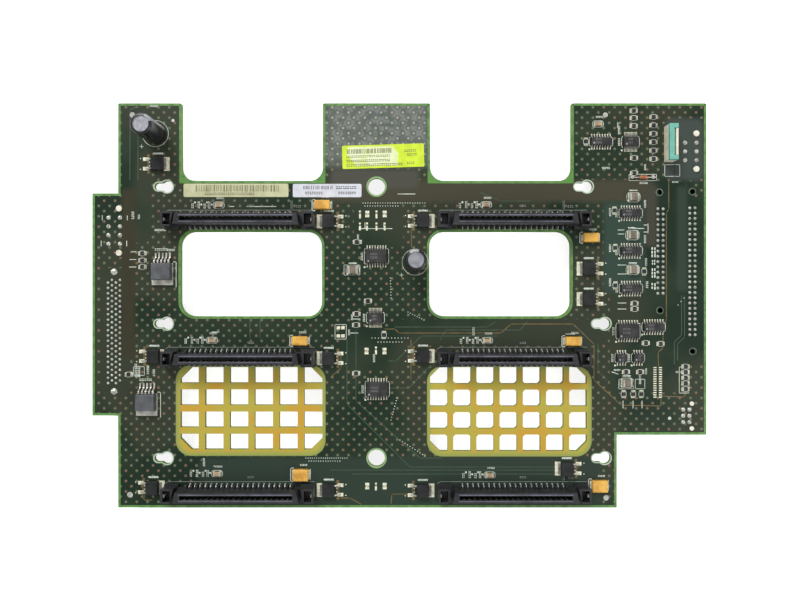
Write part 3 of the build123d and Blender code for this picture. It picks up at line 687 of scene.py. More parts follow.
def copies(base: bpy.types.Object, places: list[Matrix], name: str) -> bpy.types.Object:
    """Copy a shape that was modelled once to many places, as one piece.

    Args:
        base: The shape, modelled around the origin. It is removed.
        places: Where each copy goes.
        name: The new piece's name.

    Returns:
        One object that holds every copy.
    """
    work = bmesh.new()
    for place in places:
        mesh = base.data.copy()
        mesh.transform(place)
        work.from_mesh(mesh)
        bpy.data.meshes.remove(mesh)
    mesh = bpy.data.meshes.new(name)
    work.to_mesh(mesh)
    work.free()
    for material in base.data.materials:
        mesh.materials.append(material)
    piece = bpy.data.objects.new(name, mesh)
    bpy.context.scene.collection.objects.link(piece)
    bpy.data.objects.remove(base)
    return piece


def copy_of_node(node: str, name: str) -> bpy.types.Object:
    """Copy a CAD node's shape into a new piece with closed seams.

    Args:
        node: The CAD node.
        name: The new piece's name.

    Returns:
        The unpainted copy, with its doubled points merged and its flat triangles joined.
    """
    mesh = frame["nodes"][node].data.copy()
    work = bmesh.new()
    work.from_mesh(mesh)
    bmesh.ops.remove_doubles(work, verts=work.verts, dist=SAME_POINT)
    bmesh.ops.dissolve_limit(work, angle_limit=math.radians(2), verts=work.verts, edges=work.edges)
    work.to_mesh(mesh)
    work.free()
    mesh.materials.clear()
    piece = bpy.data.objects.new(name, mesh)
    bpy.context.scene.collection.objects.link(piece)
    return piece


def softened(
    node: str, name: str, finish: Finish, width: float, body: str = BOARD_BODY
) -> bpy.types.Object:
    """Dress a CAD node in its own shape, with rounded edges.

    Args:
        node: The CAD node.
        name: The new piece's name.
        finish: Its finish.
        width: Bevel width in millimetres.
        body: The CAD body that it rides on.

    Returns:
        The finished piece.
    """
    piece = copy_of_node(node, name)
    bevel(piece, width * MM, 2 if width > FINE_BEVEL else 1)
    return finish_piece(piece, finish, body, (node,))


def solids_of(node: str) -> list[Span]:
    """Find the box of each separate solid in a CAD node.

    Args:
        node: The CAD node.

    Returns:
        Lowest and highest corner of each solid, from left to right and then upwards.
    """
    work = bmesh.new()
    work.from_mesh(frame["nodes"][node].data)
    bmesh.ops.remove_doubles(work, verts=work.verts, dist=SAME_POINT)
    spans = []
    seen = set()
    for start in work.verts:
        if start in seen:
            continue
        seen.add(start)
        island = [start]
        for point in island:
            for edge in point.link_edges:
                other = edge.other_vert(point)
                if other not in seen:
                    seen.add(other)
                    island.append(other)
        low = Vector(min(v.co[axis] for v in island) for axis in range(3))
        high = Vector(max(v.co[axis] for v in island) for axis in range(3))
        spans.append((low, high))
    work.free()
    return sorted(spans, key=lambda span: (round(span[0].x, 5), round(span[0].y, 5)))


def middle(span: Span) -> Vector:
    """Middle of a box."""
    return (span[0] + span[1]) / 2


def at(x: float, y: float, z: float, turn: float = 0.0) -> Matrix:
    """A place in metres, turned about Z by some degrees."""
    return Matrix.Translation((x, y, z)) @ Matrix.Rotation(math.radians(turn), 4, "Z")


@dataclass
class StrokeSheet:
    """Many flat strokes of one finish at one height, copied from one modelled stroke.

    Attributes:
        name: The piece's name.
        finish: The strokes' finish.
        foot: Z of their underside in metres.
        depth: Their thickness in metres.
        frame: Where the sheet's own axes lie on the board.
        places: One matrix for each stroke.
    """

    name: str
    finish: Finish
    foot: float
    depth: float = 0.02 * MM
    frame: Matrix = field(default_factory=Matrix)
    places: list[Matrix] = field(default_factory=list)

    def line(self, start: Spot, end: Spot, width: float) -> None:
        """Draw a straight stroke, in millimetres.

        Args:
            start: Where it starts.
            end: Where it ends.
            width: Its width, also added to its length.
        """
        (x0, y0), (x1, y1) = start, end
        reach = math.hypot(x1 - x0, y1 - y0) + width
        turn = math.degrees(math.atan2(y1 - y0, x1 - x0))
        place = at((x0 + x1) / 2 * MM, (y0 + y1) / 2 * MM, self.foot, turn)
        self.places.append(self.frame @ place @ Matrix.Diagonal((reach * MM, width * MM, self.depth, 1)))

    def path(self, spots: list[Spot], width: float) -> None:
        """Draw a run of strokes through several spots, in millimetres."""
        for start, end in zip(spots, spots[1:]):
            self.line(start, end, width)

    def box(self, x: float, y: float, length: float, height: float, width: float = 0.22) -> None:
        """Outline a rectangle around its middle, in millimetres."""
        left, right, low, high = x - length / 2, x + length / 2, y - height / 2, y + height / 2
        self.path([(left, low), (right, low), (right, high), (left, high), (left, low)], width)

    def octagon(
        self, x: float, y: float, reach: float, rise: float, cut: float, width: float = 0.25
    ) -> None:
        """Outline a rectangle with cut corners, in millimetres.

        Args:
            x: X of its middle.
            y: Y of its middle.
            reach: Half its length.
            rise: Half its height.
            cut: How much each corner takes off both.
            width: Width of the stroke.
        """
        ends, sides = reach - cut, rise - cut
        corners = [(-reach, -sides), (-ends, -rise), (ends, -rise), (reach, -sides)]
        corners += [(reach, sides), (ends, rise), (-ends, rise), (-reach, sides)]
        self.path([(x + dx, y + dy) for dx, dy in corners + corners[:1]], width)

    def ring(self, x: float, y: float, radius: float, width: float, step: int) -> None:
        """Draw a circle from straight strokes that turn by some degrees, in millimetres."""
        turns = [math.radians(angle) for angle in range(0, 361, step)]
        self.path([(x + radius * math.cos(turn), y + radius * math.sin(turn)) for turn in turns], width)

    def bars(
        self, start: float, end: float, low: float, high: float, width: float, steps: tuple[float, ...]
    ) -> None:
        """Rule a row of upright bars at uneven steps, in millimetres.

        Args:
            start: X of the first bar.
            end: X that no bar reaches.
            low: Y of the bars' feet.
            high: Y of their tops.
            width: Width of each.
            steps: The steps to draw from.
        """
        x = start
        while x < end:
            self.line((x, low), (x, high), width)
            x += RANDOM.choice(steps)

    def patch(self, x: float, y: float, length: float, height: float) -> None:
        """Fill a rectangle around its middle, in millimetres."""
        place = at(x * MM, y * MM, self.foot) @ Matrix.Diagonal((length * MM, height * MM, self.depth, 1))
        self.places.append(self.frame @ place)

    def words(self, x: float, y: float, count: int, height: float = 1.1, way: Way = Way.ACROSS) -> None:
        """Set a row of dash clusters where the board has small lettering.

        Args:
            x: Start of the row in millimetres.
            y: Middle of the row in millimetres.
            count: How many clusters.
            height: Height of a cluster in millimetres.
            way: Which way the row runs.
        """
        turned = Matrix.Translation((x * MM, y * MM, 0)) @ Matrix.Rotation(math.radians(way.value), 4, "Z")
        kept, self.frame = self.frame, self.frame @ turned
        for index in range(count):
            left = index * height * 0.8
            for level in (-0.3, 0.3):
                start = left + height * RANDOM.uniform(0.0, 0.2)
                end = left + height * RANDOM.uniform(0.3, 0.5)
                self.line((start, level * height), (end, level * height), height * 0.3)
        self.frame = kept

    def build(self) -> bpy.types.Object:
        """Copy the stroke to every place.

        Returns:
            The finished sheet.
        """
        stroke = block("stroke", Vector((-0.5, -0.5, 0)), Vector((0.5, 0.5, 1)))
        return finish_piece(copies(stroke, self.places, self.name), self.finish)


def dome(radius: float, height: float) -> bpy.types.Object:
    """Model a small solder joint, wide at its foot.

    Args:
        radius: Radius at the foot in metres.
        height: Height in metres.

    Returns:
        The joint, standing on the origin.
    """
    joint = disc("joint", Vector((0, 0, 0)), radius, height, 10)
    edit_faces(joint, facing_up(joint, height))
    bpy.ops.transform.resize(value=(0.72, 0.72, 1))
    bpy.ops.mesh.inset(thickness=radius * 0.3)
    bpy.ops.transform.translate(value=(0, 0, height * 0.35))
    close_edit()
    activate(joint)
    bpy.ops.object.shade_smooth_by_angle(angle=math.radians(60))
    return joint


def crank(name: str, width: float, thickness: float, course: list[Spot]) -> bpy.types.Object:
    """Bend a flat strip along a course in the plane of Y and Z.

    Args:
        name: The strip's name.
        width: Its width across X.
        thickness: Its thickness.
        course: Points of its middle line as Y and Z, in metres.

    Returns:
        The strip, around X 0.
    """
    (y0, z0), (y1, _) = course[:2]
    half = thickness / 2
    strip = block(name, Vector((-width / 2, y0, z0 - half)), Vector((width / 2, y1, z0 + half)))
    for y, z in course[2:]:
        tip = max(strip.data.polygons, key=lambda p: p.center.y)
        step = Vector((0, y, z)) - Vector(tip.center)
        edit_faces(strip, [tip.index])
        bpy.ops.mesh.extrude_region_move(TRANSFORM_OT_translate={"value": (0, step.y, step.z)})
        close_edit()
    return strip


# Sub-assemblies


@dataclass
class Laminate:
    """The board itself: mask, pale margins, pale hole rims and sawn edges.

    Attributes:
        rim: Width of the pale rim round a small hole.
        ring: Width of the pale ring round a round hole.
        margin: Width of the pale strip along the outline and the windows.
        small: Largest hole, in metres, that gets a rim in place of a strip.
        lift: How far the strips lie above the mask.
    """

    rim: float = 0.6 * MM
    ring: float = 0.85 * MM
    margin: float = 1.2 * MM
    small: float = 12 * MM
    lift: float = 0.004 * MM

    def build(self) -> None:
        """Model the board and its strips."""
        board = copy_of_node("board", "laminate_board")
        low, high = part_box("board")
        for finish in (MaskFinish(), EDGE):
            board.data.materials.append(finish.material())
        for polygon in board.data.polygons:
            polygon.material_index = 1 if abs(polygon.normal.z) < 0.5 else 0
        mount_piece(board, stands_for=("board",))
        for height, look, title in ((high.z, 1, "upper"), (low.z, -1, "lower")):
            loops = self.loops(height, look)
            small = [loop for loop in loops if max(self.extent(loop)) < self.small and not self.in_grid(loop)]
            rounds = [loop for loop in small if math.isclose(*self.extent(loop), rel_tol=0.01)]
            long = [loop for loop in loops if max(self.extent(loop)) >= self.small]
            keyholes = [loop for loop in small if loop not in rounds]
            z = height + look * self.lift
            finish_piece(self.strips(f"{title}_margins", long, self.margin, z, look), MARGIN)
            finish_piece(self.strips(f"{title}_keyhole_rims", keyholes, self.rim, z, look), RIM)
            finish_piece(self.strips(f"{title}_round_rims", rounds, self.ring, z, look), RING)

    def loops(self, height: float, look: int) -> list[list[Vector]]:
        """Follow the outline and each hole of a flat face, with the laminate always on one side.

        Args:
            height: Z of the face.
            look: 1 for the upper face, -1 for the lower.

        Returns:
            The points of each closed loop.
        """
        work = bmesh.new()
        work.from_mesh(frame["nodes"]["board"].data)
        bmesh.ops.remove_doubles(work, verts=work.verts, dist=SAME_POINT)
        follows: dict[int, int] = {}
        for edge in work.edges:
            level = [f for f in edge.link_faces if f.normal.z * look > 0.9]
            if len(level) != 1 or abs(edge.verts[0].co.z - height) > SAME_LEVEL:
                continue
            loop = next(one for one in level[0].loops if one.edge == edge)
            follows[loop.vert.index] = loop.link_loop_next.vert.index
        work.verts.ensure_lookup_table()
        chains = []
        while follows:
            start, step = next(iter(follows.items()))
            chain = [start]
            while step != start:
                chain.append(step)
                step = follows.pop(step)
            follows.pop(start, None)
            chains.append([work.verts[index].co.copy() for index in chain])
        work.free()
        return chains

    def strips(
        self, name: str, loops: list[list[Vector]], width: float, z: float, look: int
    ) -> bpy.types.Object:
        """Lay a flat strip along the laminate's side of each loop.

        Args:
            name: The piece's name.
            loops: The loops to follow.
            width: Width of the strip in metres.
            z: Height of the strip.
            look: 1 where the strip looks up, -1 where it looks down.

        Returns:
            All the strips as one object.
        """
        work = bmesh.new()
        for loop in loops:
            rows = []
            for index, point in enumerate(loop):
                before = (point - loop[index - 1]).to_2d().normalized()
                after = (loop[(index + 1) % len(loop)] - point).to_2d().normalized()
                sides = [Vector((-way.y, way.x)) * look for way in (before, after)]
                mitre = (sides[0] + sides[1]) / max(0.3, 1 + sides[0].dot(sides[1]))
                edge = point.to_2d()
                inner = edge + mitre * width
                rows.append([work.verts.new((spot.x, spot.y, z)) for spot in (edge, inner)])
            for index, (edge, inner) in enumerate(rows):
                next_edge, next_inner = rows[(index + 1) % len(rows)]
                corners = [edge, next_edge, next_inner, inner]
                work.faces.new(corners if look > 0 else corners[::-1])
        mesh = bpy.data.meshes.new(name)
        work.to_mesh(mesh)
        work.free()
        piece = bpy.data.objects.new(name, mesh)
        bpy.context.scene.collection.objects.link(piece)
        return piece

    def extent(self, loop: list[Vector]) -> Spot:
        """Measure a loop across X and across Y."""
        spans = [[point[axis] for point in loop] for axis in (0, 1)]
        return max(spans[0]) - min(spans[0]), max(spans[1]) - min(spans[1])

    def in_grid(self, loop: list[Vector]) -> bool:
        """Whether a loop lies in one of the bare grid fields."""
        x, y = loop[0].x / MM, loop[0].y / MM
        return any(low[0] < x < high[0] and low[1] < y < high[1] for low, high in GRID_FIELDS)


@dataclass
class DriveSockets:
    """The slot sockets: softened housings, lips painted as highlights, comb ribs, contacts and solder tails.

    Attributes:
        tooth_width: Width of one rib between the solder tails.
        tooth_reach: How far a rib stands out from the body.
        tooth_height: Height of the ribs above the board.
        body_half: Half the width of the body that the ribs stand on.
        outer_row: Distance of the outer solder joints from the slot's middle.
        lip_half: Half the length of the lips beside a slot.
        lip_rows: Where each lip starts and ends across the slot.
        lip_sink: How deep a lip is sunk in the housing.
        lip_rise: How far it stands out.
        tail_course: Middle line of a tail, outwards and upwards, in millimetres.
    """

    tooth_width: float = 0.9 * MM
    tooth_reach: float = 1.25 * MM
    tooth_height: float = 3.4 * MM
    body_half: float = 2.5 * MM
    outer_row: float = 3.9 * MM
    lip_half: float = 26.6 * MM
    lip_rows: tuple[Spot, ...] = ((1.25 * MM, 1.85 * MM), (-1.6 * MM, -1.25 * MM))
    lip_sink: float = 0.05 * MM
    lip_rise: float = 0.1 * MM
    tail_course: tuple[Spot, ...] = ((2.4, 1.7), (3.0, 1.7), (3.7, 1.1), (3.85, 0.1))

    def build(self) -> None:
        """Model each socket in turn."""
        for number in SOCKETS:
            softened(f"drive_socket_{number}", f"drive_socket_housing_{number}", BLACK_PLASTIC, 0.18)
            self.comb(number)
            noses = copy_of_node(f"drive_contacts_{number}", f"drive_contact_springs_{number}")
            finish_piece(noses, PALE_CONTACT, stands_for=(f"drive_contacts_{number}",))
        self.lips()

    def lips(self) -> None:
        """Run a low lip with a painted highlight along both sides of each slot."""
        parts = []
        for number in SOCKETS:
            low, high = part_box(f"drive_socket_{number}")
            centre = middle((low, high))
            for near, far in self.lip_rows:
                start = Vector((centre.x - self.lip_half, centre.y + near, high.z - self.lip_sink))
                end = Vector((centre.x + self.lip_half, centre.y + far, high.z + self.lip_rise))
                parts.append(block("lip", start, end))
        # Painted highlight along both sides of each slot
        finish_piece(join(parts, "drive_socket_highlight_lips"), HIGHLIGHT_LIP)

    def comb(self, number: int) -> None:
        """Add the ribs that part the solder tails along both sides of a socket.

        Args:
            number: Which socket.
        """
        low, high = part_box(f"drive_socket_{number}")
        board_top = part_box("board")[1].z
        centre = middle((low, high))
        springs = solids_of(f"drive_contacts_{number}")
        columns = sorted({round(middle(span).x, 5) for span in springs})
        pitch = (columns[-1] - columns[0]) / (len(columns) - 1)
        tooth = block(
            "rib",
            Vector((-self.tooth_width / 2, 0, 0)),
            Vector((self.tooth_width / 2, self.tooth_reach, self.tooth_height)),
        )
        bevel(tooth, 0.12 * MM, 1)
        places = []
        for side in (0, 180):
            sign = 1 if side == 0 else -1
            for index in range(len(columns) + 1):
                x = columns[0] - pitch / 2 + index * pitch
                places.append(at(x, centre.y + sign * self.body_half, board_top, side))
        comb = copies(tooth, places, f"drive_socket_ribs_{number}")
        finish_piece(comb, BLACK_PLASTIC)
        self.tails(number, columns, centre.y, board_top)

    def tails(self, number: int, columns: list[float], middle_y: float, board_top: float) -> None:
        """Bend the outer tails down into their solder joints on both sides of a socket.

        Args:
            number: Which socket.
            columns: X of each contact.
            middle_y: Y of the slot.
            board_top: Z of the board's upper face.
        """
        course = [(y * MM, z * MM) for y, z in self.tail_course]
        tail = crank("tail", 0.5 * MM, 0.3 * MM, course)
        joint = dome(0.52 * MM, 0.3 * MM)
        turns = [(x, turn) for x in columns for turn in (0, 180)]
        tails = copies(tail, [at(x, middle_y, board_top, turn) for x, turn in turns], "tails")
        rows = {0: middle_y + self.outer_row, 180: middle_y - self.outer_row}
        joints = copies(joint, [at(x, rows[turn], board_top) for x, turn in turns], "joints")
        finish_piece(join([tails, joints], f"drive_contact_tails_{number}"), TAIL)


@dataclass
class Capacitors:
    """The tall capacitors, each with a film sleeve, a scored vent and a marking ring.

    Attributes:
        film: Thickness of the sleeve.
        shoulder: Radius of the rounded rim.
        face: Radius of the bare disc on top.
        sides: Faces around a can.
        bead: Width of the step down to the disc.
        dish: Depth of that step.
        score: Height of a scored line, and half its width.
        stripe: How far the pale stripe goes round, in degrees.
    """

    film: float = 0.12 * MM
    shoulder: float = 1.1 * MM
    face: float = 3.65 * MM
    sides: int = 64
    bead: float = 0.15 * MM
    dish: float = 0.25 * MM
    score: float = 0.05 * MM
    stripe: float = 55

    def build(self) -> None:
        """Model both capacitors."""
        for number, span in enumerate(solids_of("capacitor_cans"), start=1):
            self.can(number, span)
        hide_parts("capacitor_cans")

    def can(self, number: int, span: Span) -> None:
        """Model one capacitor.

        Args:
            number: Which one.
            span: The box of its CAD solid.
        """
        low, high = span
        centre = middle(span)
        radius = (high.x - low.x) / 2
        foot = Vector((centre.x, centre.y, low.z))
        height = high.z - low.z
        can = self.drum(f"capacitor_can_{number}", foot, radius - self.film, height - self.film)
        bpy.ops.mesh.inset(thickness=self.bead)
        bpy.ops.transform.translate(value=(0, 0, -self.dish))
        bpy.ops.mesh.inset(thickness=self.face * 0.55)
        close_edit()
        scores = self.vent(centre, high.z - self.film - self.dish, radius)
        finish_piece(join([can, scores], can.name), CAN)
        mount_piece(self.sleeve(number, foot, radius, height))

    def drum(self, name: str, foot: Vector, radius: float, height: float) -> bpy.types.Object:
        """Turn a drum with a rounded rim and leave the disc on top open in edit mode.

        Args:
            name: The drum's name.
            foot: Middle of its foot.
            radius: Its radius.
            height: Its height.

        Returns:
            The drum, with only the disc selected.
        """
        drum = disc(name, foot, radius, height, self.sides)
        edit_faces(drum, facing_up(drum, foot.z + height))
        bpy.ops.mesh.bevel(offset=self.shoulder, segments=5, affect="EDGES")
        close_edit()
        edit_faces(drum, facing_up(drum, foot.z + height))
        bpy.ops.mesh.inset(thickness=max(LEAST_INSET, radius - self.shoulder - self.face))
        return drum

    def vent(self, centre: Vector, height: float, radius: float) -> bpy.types.Object:
        """Raise the three scored lines of the vent, a hair above the disc.

        Args:
            centre: Middle of the can.
            height: Z of the disc.
            radius: Radius of the can.

        Returns:
            The lines as one object.
        """
        line = block("score", Vector((-self.score, 0, 0)), Vector((self.score, radius * 0.5, self.score)))
        return copies(line, [at(centre.x, centre.y, height, turn) for turn in (20, 140, 260)], "scores")

    def sleeve(self, number: int, foot: Vector, radius: float, height: float) -> bpy.types.Object:
        """Shrink a film over the can, turned in over its rim, with a pale stripe down one side.

        Args:
            number: Which capacitor.
            foot: Middle of its foot.
            radius: Outer radius.
            height: Height above the board.

        Returns:
            The painted sleeve.
        """
        sleeve = self.drum(f"capacitor_film_{number}", foot, radius, height)
        bpy.ops.mesh.delete(type="FACE")
        close_edit()
        activate(sleeve)
        bpy.ops.object.shade_smooth_by_angle(angle=math.radians(35))
        sleeve.data.materials.append(SLEEVE.material())
        sleeve.data.materials.append(STRIPE.material())
        start = 15 if foot.x < 0 else 75
        for polygon in sleeve.data.polygons:
            spoke = math.degrees(math.atan2(polygon.center.y - foot.y, polygon.center.x - foot.x))
            if start < spoke % 360 < start + self.stripe:
                polygon.material_index = 1
        return sleeve


CIRCUITS = sorted(node for node in frame["nodes"] if node.startswith(("wide_", "narrow_", "small_", "fine_")))


@dataclass
class Circuits:
    """The moulded circuits and their bent leads.

    Attributes:
        lead_thickness: Thickness of a lead.
        dot: Radius of the index dot.
        dot_depth: Thickness of its ink.
        dot_place: Its place from the body's lower left corner.
    """

    lead_thickness: float = 0.2 * MM
    dot: float = 0.45 * MM
    dot_depth: float = 0.015 * MM
    dot_place: Spot = (1.3 * MM, 1.1 * MM)

    def build(self) -> None:
        """Dress each circuit and bend its leads."""
        for node in CIRCUITS:
            low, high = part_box(node)
            body = copy_of_node(node, f"{node}_body")
            bevel(body, 0.12 * MM, 2)
            corner = Vector((low.x + self.dot_place[0], low.y + self.dot_place[1], high.z))
            dot = disc("dot", corner, self.dot, self.dot_depth, 16)
            dot.data.materials.append(STRIPE.material())
            body.data.materials.clear()
            body.data.materials.append(MOULDING.material())
            body = join([body, dot], f"{node}_body")
            mount_piece(body, stands_for=(node,))
            half = (high.x - low.x) / MM / 2
            centre = middle((low, high))
            marking = StrokeSheet(f"{node}_marking", CHIP_INK, high.z, 0.008 * MM)
            for rise in (0.9, -0.7):
                marking.words(centre.x / MM - half + 2.2, centre.y / MM + rise, int(half), 0.9)
            marking.build()
        self.leads()

    def leads(self) -> None:
        """Bend every lead like a gull's wing, from one that was modelled once."""
        spans = solids_of("chip_leads")
        groups: dict[tuple[float, float], list[Span]] = {}
        for span in spans:
            size = span[1] - span[0]
            groups.setdefault((round(size.x, 5), round(size.y, 5)), []).append(span)
        bodies = [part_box(node) for node in CIRCUITS]
        pieces = []
        for (width, reach), members in groups.items():
            lead = self.lead(width, reach, members[0][1].z - members[0][0].z)
            places = []
            for span in members:
                centre = middle(span)
                home = min(bodies, key=lambda box: (middle(box) - centre).length)
                turn = 0 if centre.y > middle(home).y else 180
                root = span[0].y if turn == 0 else span[1].y
                places.append(at(centre.x, root, span[0].z, turn))
            pieces.append(copies(lead, places, "leads"))
        finish_piece(join(pieces, "chip_lead_wings"), TIN, stands_for=("chip_leads",))

    def lead(self, width: float, reach: float, height: float) -> bpy.types.Object:
        """Bend one lead: out of the body, down and along the board.

        Args:
            width: Width of the lead.
            reach: How far it goes out from the body.
            height: Height of its root above the board.

        Returns:
            The lead, rooted at the origin and pointing along +Y.
        """
        root = height + 0.1 * MM
        foot = self.lead_thickness / 2
        course = [(-0.2 * MM, root), (reach * 0.18, root), (reach * 0.36, root * 0.5)]
        course += [(reach * 0.5, foot * 1.6), (reach * 0.62, foot), (reach, foot)]
        return crank("lead", width, self.lead_thickness, course)


@dataclass
class PowerParts:
    """Transistors and regulators with their tabs and leads.

    Attributes:
        root: Where a transistor lead's root starts and ends, outwards from the body.
        rise: Its underside and its top there, above the CAD lead's top.
        bend: How far out it is bent down.
        heel: Height of its middle line from there on.
    """

    root: Spot = (-0.3 * MM, 0.5 * MM)
    rise: Spot = (-0.1 * MM, 0.4 * MM)
    bend: float = 1.1 * MM
    heel: float = 0.25 * MM

    def build(self) -> None:
        """Dress the transistors and regulators."""
        softened("transistor_bodies", "transistor_mouldings", DARK_MOULDING, 0.15)
        softened("transistor_tabs", "transistor_solder_tabs", WORN_TIN, 0.12)
        self.transistor_leads()
        for number in (1, 2):
            softened(f"regulator_body_{number}", f"regulator_moulding_{number}", GREY_MOULDING, 0.2)
        softened("regulator_tabs", "regulator_plates", TIN, 0.15)
        softened("regulator_leads", "regulator_lead_set", TIN, 0.06)

    def transistor_leads(self) -> None:
        """Crank each transistor lead down to the board."""
        leads = solids_of("transistor_leads")
        bodies = solids_of("transistor_bodies")
        size = leads[0][1] - leads[0][0]
        low = Vector((self.root[0], -size.y / 2, size.z + self.rise[0]))
        high = Vector((self.root[1], size.y / 2, size.z + self.rise[1]))
        lead = block("lead", low, high)
        for x, z in ((self.bend, self.heel), (size.x, self.heel)):
            tip = max(lead.data.polygons, key=lambda p: p.center.x)
            step = Vector((x, 0, z)) - Vector(tip.center)
            edit_faces(lead, [tip.index])
            bpy.ops.mesh.extrude_region_move(TRANSFORM_OT_translate={"value": (step.x, 0, step.z)})
            close_edit()
        bevel(lead, 0.06 * MM, 1)
        places = []
        for span in leads:
            centre = middle(span)
            home = min(bodies, key=lambda box: (middle(box) - centre).length)
            right = centre.x > middle(home).x
            places.append(at(span[0].x if right else span[1].x, centre.y, span[0].z, 0 if right else 180))
        wings = copies(lead, places, "transistor_lead_set")
        finish_piece(wings, PAD, stands_for=("transistor_leads",))


@dataclass
class Passives:
    """Tantalum capacitors, chip resistors, ceramics and inductors.

    Attributes:
        cap: Length of a tinned end as a share of the chip.
        bare: Share of each end that the body stops short by.
        side_step: How far the ends stand out at each side.
        top_step: How far they stand out on top.
    """

    cap: float = 0.2
    bare: float = 0.8
    side_step: float = 0.04 * MM
    top_step: float = 0.03 * MM

    def build(self) -> None:
        """Dress the small two-ended parts."""
        softened("tantalum_bodies", "tantalum_mouldings", AMBER, 0.15)
        self.capped("chip_resistors", FILM, "resistor_chips")
        self.capped("ceramic_capacitors", CERAMIC, "ceramic_chips")
        self.capped("chip_inductors", FERRITE, "inductor_chips")

    def capped(self, node: str, finish: Finish, name: str) -> None:
        """Give each chip of a node its body and its two tinned ends.

        Args:
            node: The CAD node.
            finish: The body's finish.
            name: The new piece's name.
        """
        pieces = []
        for low, high in solids_of(node):
            size = high - low
            along = 0 if size.x > size.y else 1
            reach = size[along] * self.cap
            inner_low, inner_high = low.copy(), high.copy()
            inner_low[along] += reach * self.bare
            inner_high[along] -= reach * self.bare
            inner_low[1 - along] += self.side_step
            inner_high[1 - along] -= self.side_step
            inner_high.z -= self.top_step
            body = block("chip", inner_low, inner_high)
            body.data.materials.append(finish.material())
            pieces.append(body)
            for start, end in ((low[along], low[along] + reach), (high[along] - reach, high[along])):
                cap_low, cap_high = low.copy(), high.copy()
                cap_low[along], cap_high[along] = start, end
                cap = block("cap", cap_low, cap_high)
                cap.data.materials.append(PAD.material())
                pieces.append(cap)
        chips = join(pieces, name)
        bevel(chips, 0.06 * MM, 1)
        mount_piece(chips, stands_for=(node,))


# Pieces that keep their CAD shape: node, name, finish and bevel in millimetres
CONNECTOR_PIECES = (
    ("cable_connector_housing", "flat_cable_housing", CREAM, 0.12),
    ("cable_latch", "flat_cable_latch", TEAL, 0.15),
    ("cable_contacts", "flat_cable_springs", PALE_CONTACT, 0.04),
    ("diode_body", "glass_diode", GLASS, 0.25),
    ("diode_leads", "diode_wires", TIN, 0.06),
    ("power_header_8", "power_inlet_left", NYLON, 0.2),
    ("power_header_6", "power_inlet_right", NYLON, 0.2),
    ("fan_header", "small_power_outlet", NYLON, 0.15),
    ("dense_connector_housing", "signal_port_housing", BLACK_PLASTIC, 0.25),
    ("header_34_shroud", "ribbon_shroud_34", BLACK_PLASTIC, 0.2),
    ("header_50_shroud", "ribbon_shroud_50", BLACK_PLASTIC, 0.2),
    ("header_pins", "ribbon_pins", TIN, 0.08),
    ("power_header_pins", "power_blades", TIN, 0.12),
    ("guide_contacts", "guide_springs", TIN, 0.08),
    ("dense_connector_locks", "signal_port_locks", TIN, 0.2),
    ("dense_connector_contacts", "signal_port_tails", TIN, 0.06),
    ("capacitor_leads", "capacitor_wires", TIN, 0.05),
)


class SmallConnectors:
    """The flat-cable connector, the diode, the guide contacts and the rear headers."""

    def build(self) -> None:
        """Dress each connector. Only the latch rides on a body of its own."""
        for node, name, finish, width in CONNECTOR_PIECES:
            softened(node, name, finish, width, LATCH_BODY if node == "cable_latch" else BOARD_BODY)


# Bars of each label, in millimetres: first X, last X, foot and top
CREAM_BARS = (-97.6, -57.8, 54.9, 57.6)
WHITE_BARS = (-46.0, -31.4, 55.9, 57.3)
BRIGHT_BARS = (-17.2, 4.0, 1.7, 3.6)
# Rows of print, in millimetres: start, level, clusters and height. The bright label's bars and
# rows are measured from its middle
CREAM_ROWS = ((-93.4, 53.6, 24, 1.25),)
WHITE_ROWS = ((-30.3, 56.6, 9, 1.35), (-45.2, 54.0, 8, 1.35), (-29.2, 54.0, 8, 1.35))
BRIGHT_ROWS = (
    (-17.6, 0.2, 24, 1.1),
    (-17.6, -1.9, 22, 1.2),
    (-17.6, -4.0, 26, 1.3),
    (10.4, 2.3, 6, 1.2),
    (11.6, 0.4, 5, 1.2),
    (11.4, -3.6, 4, 1.2),
)


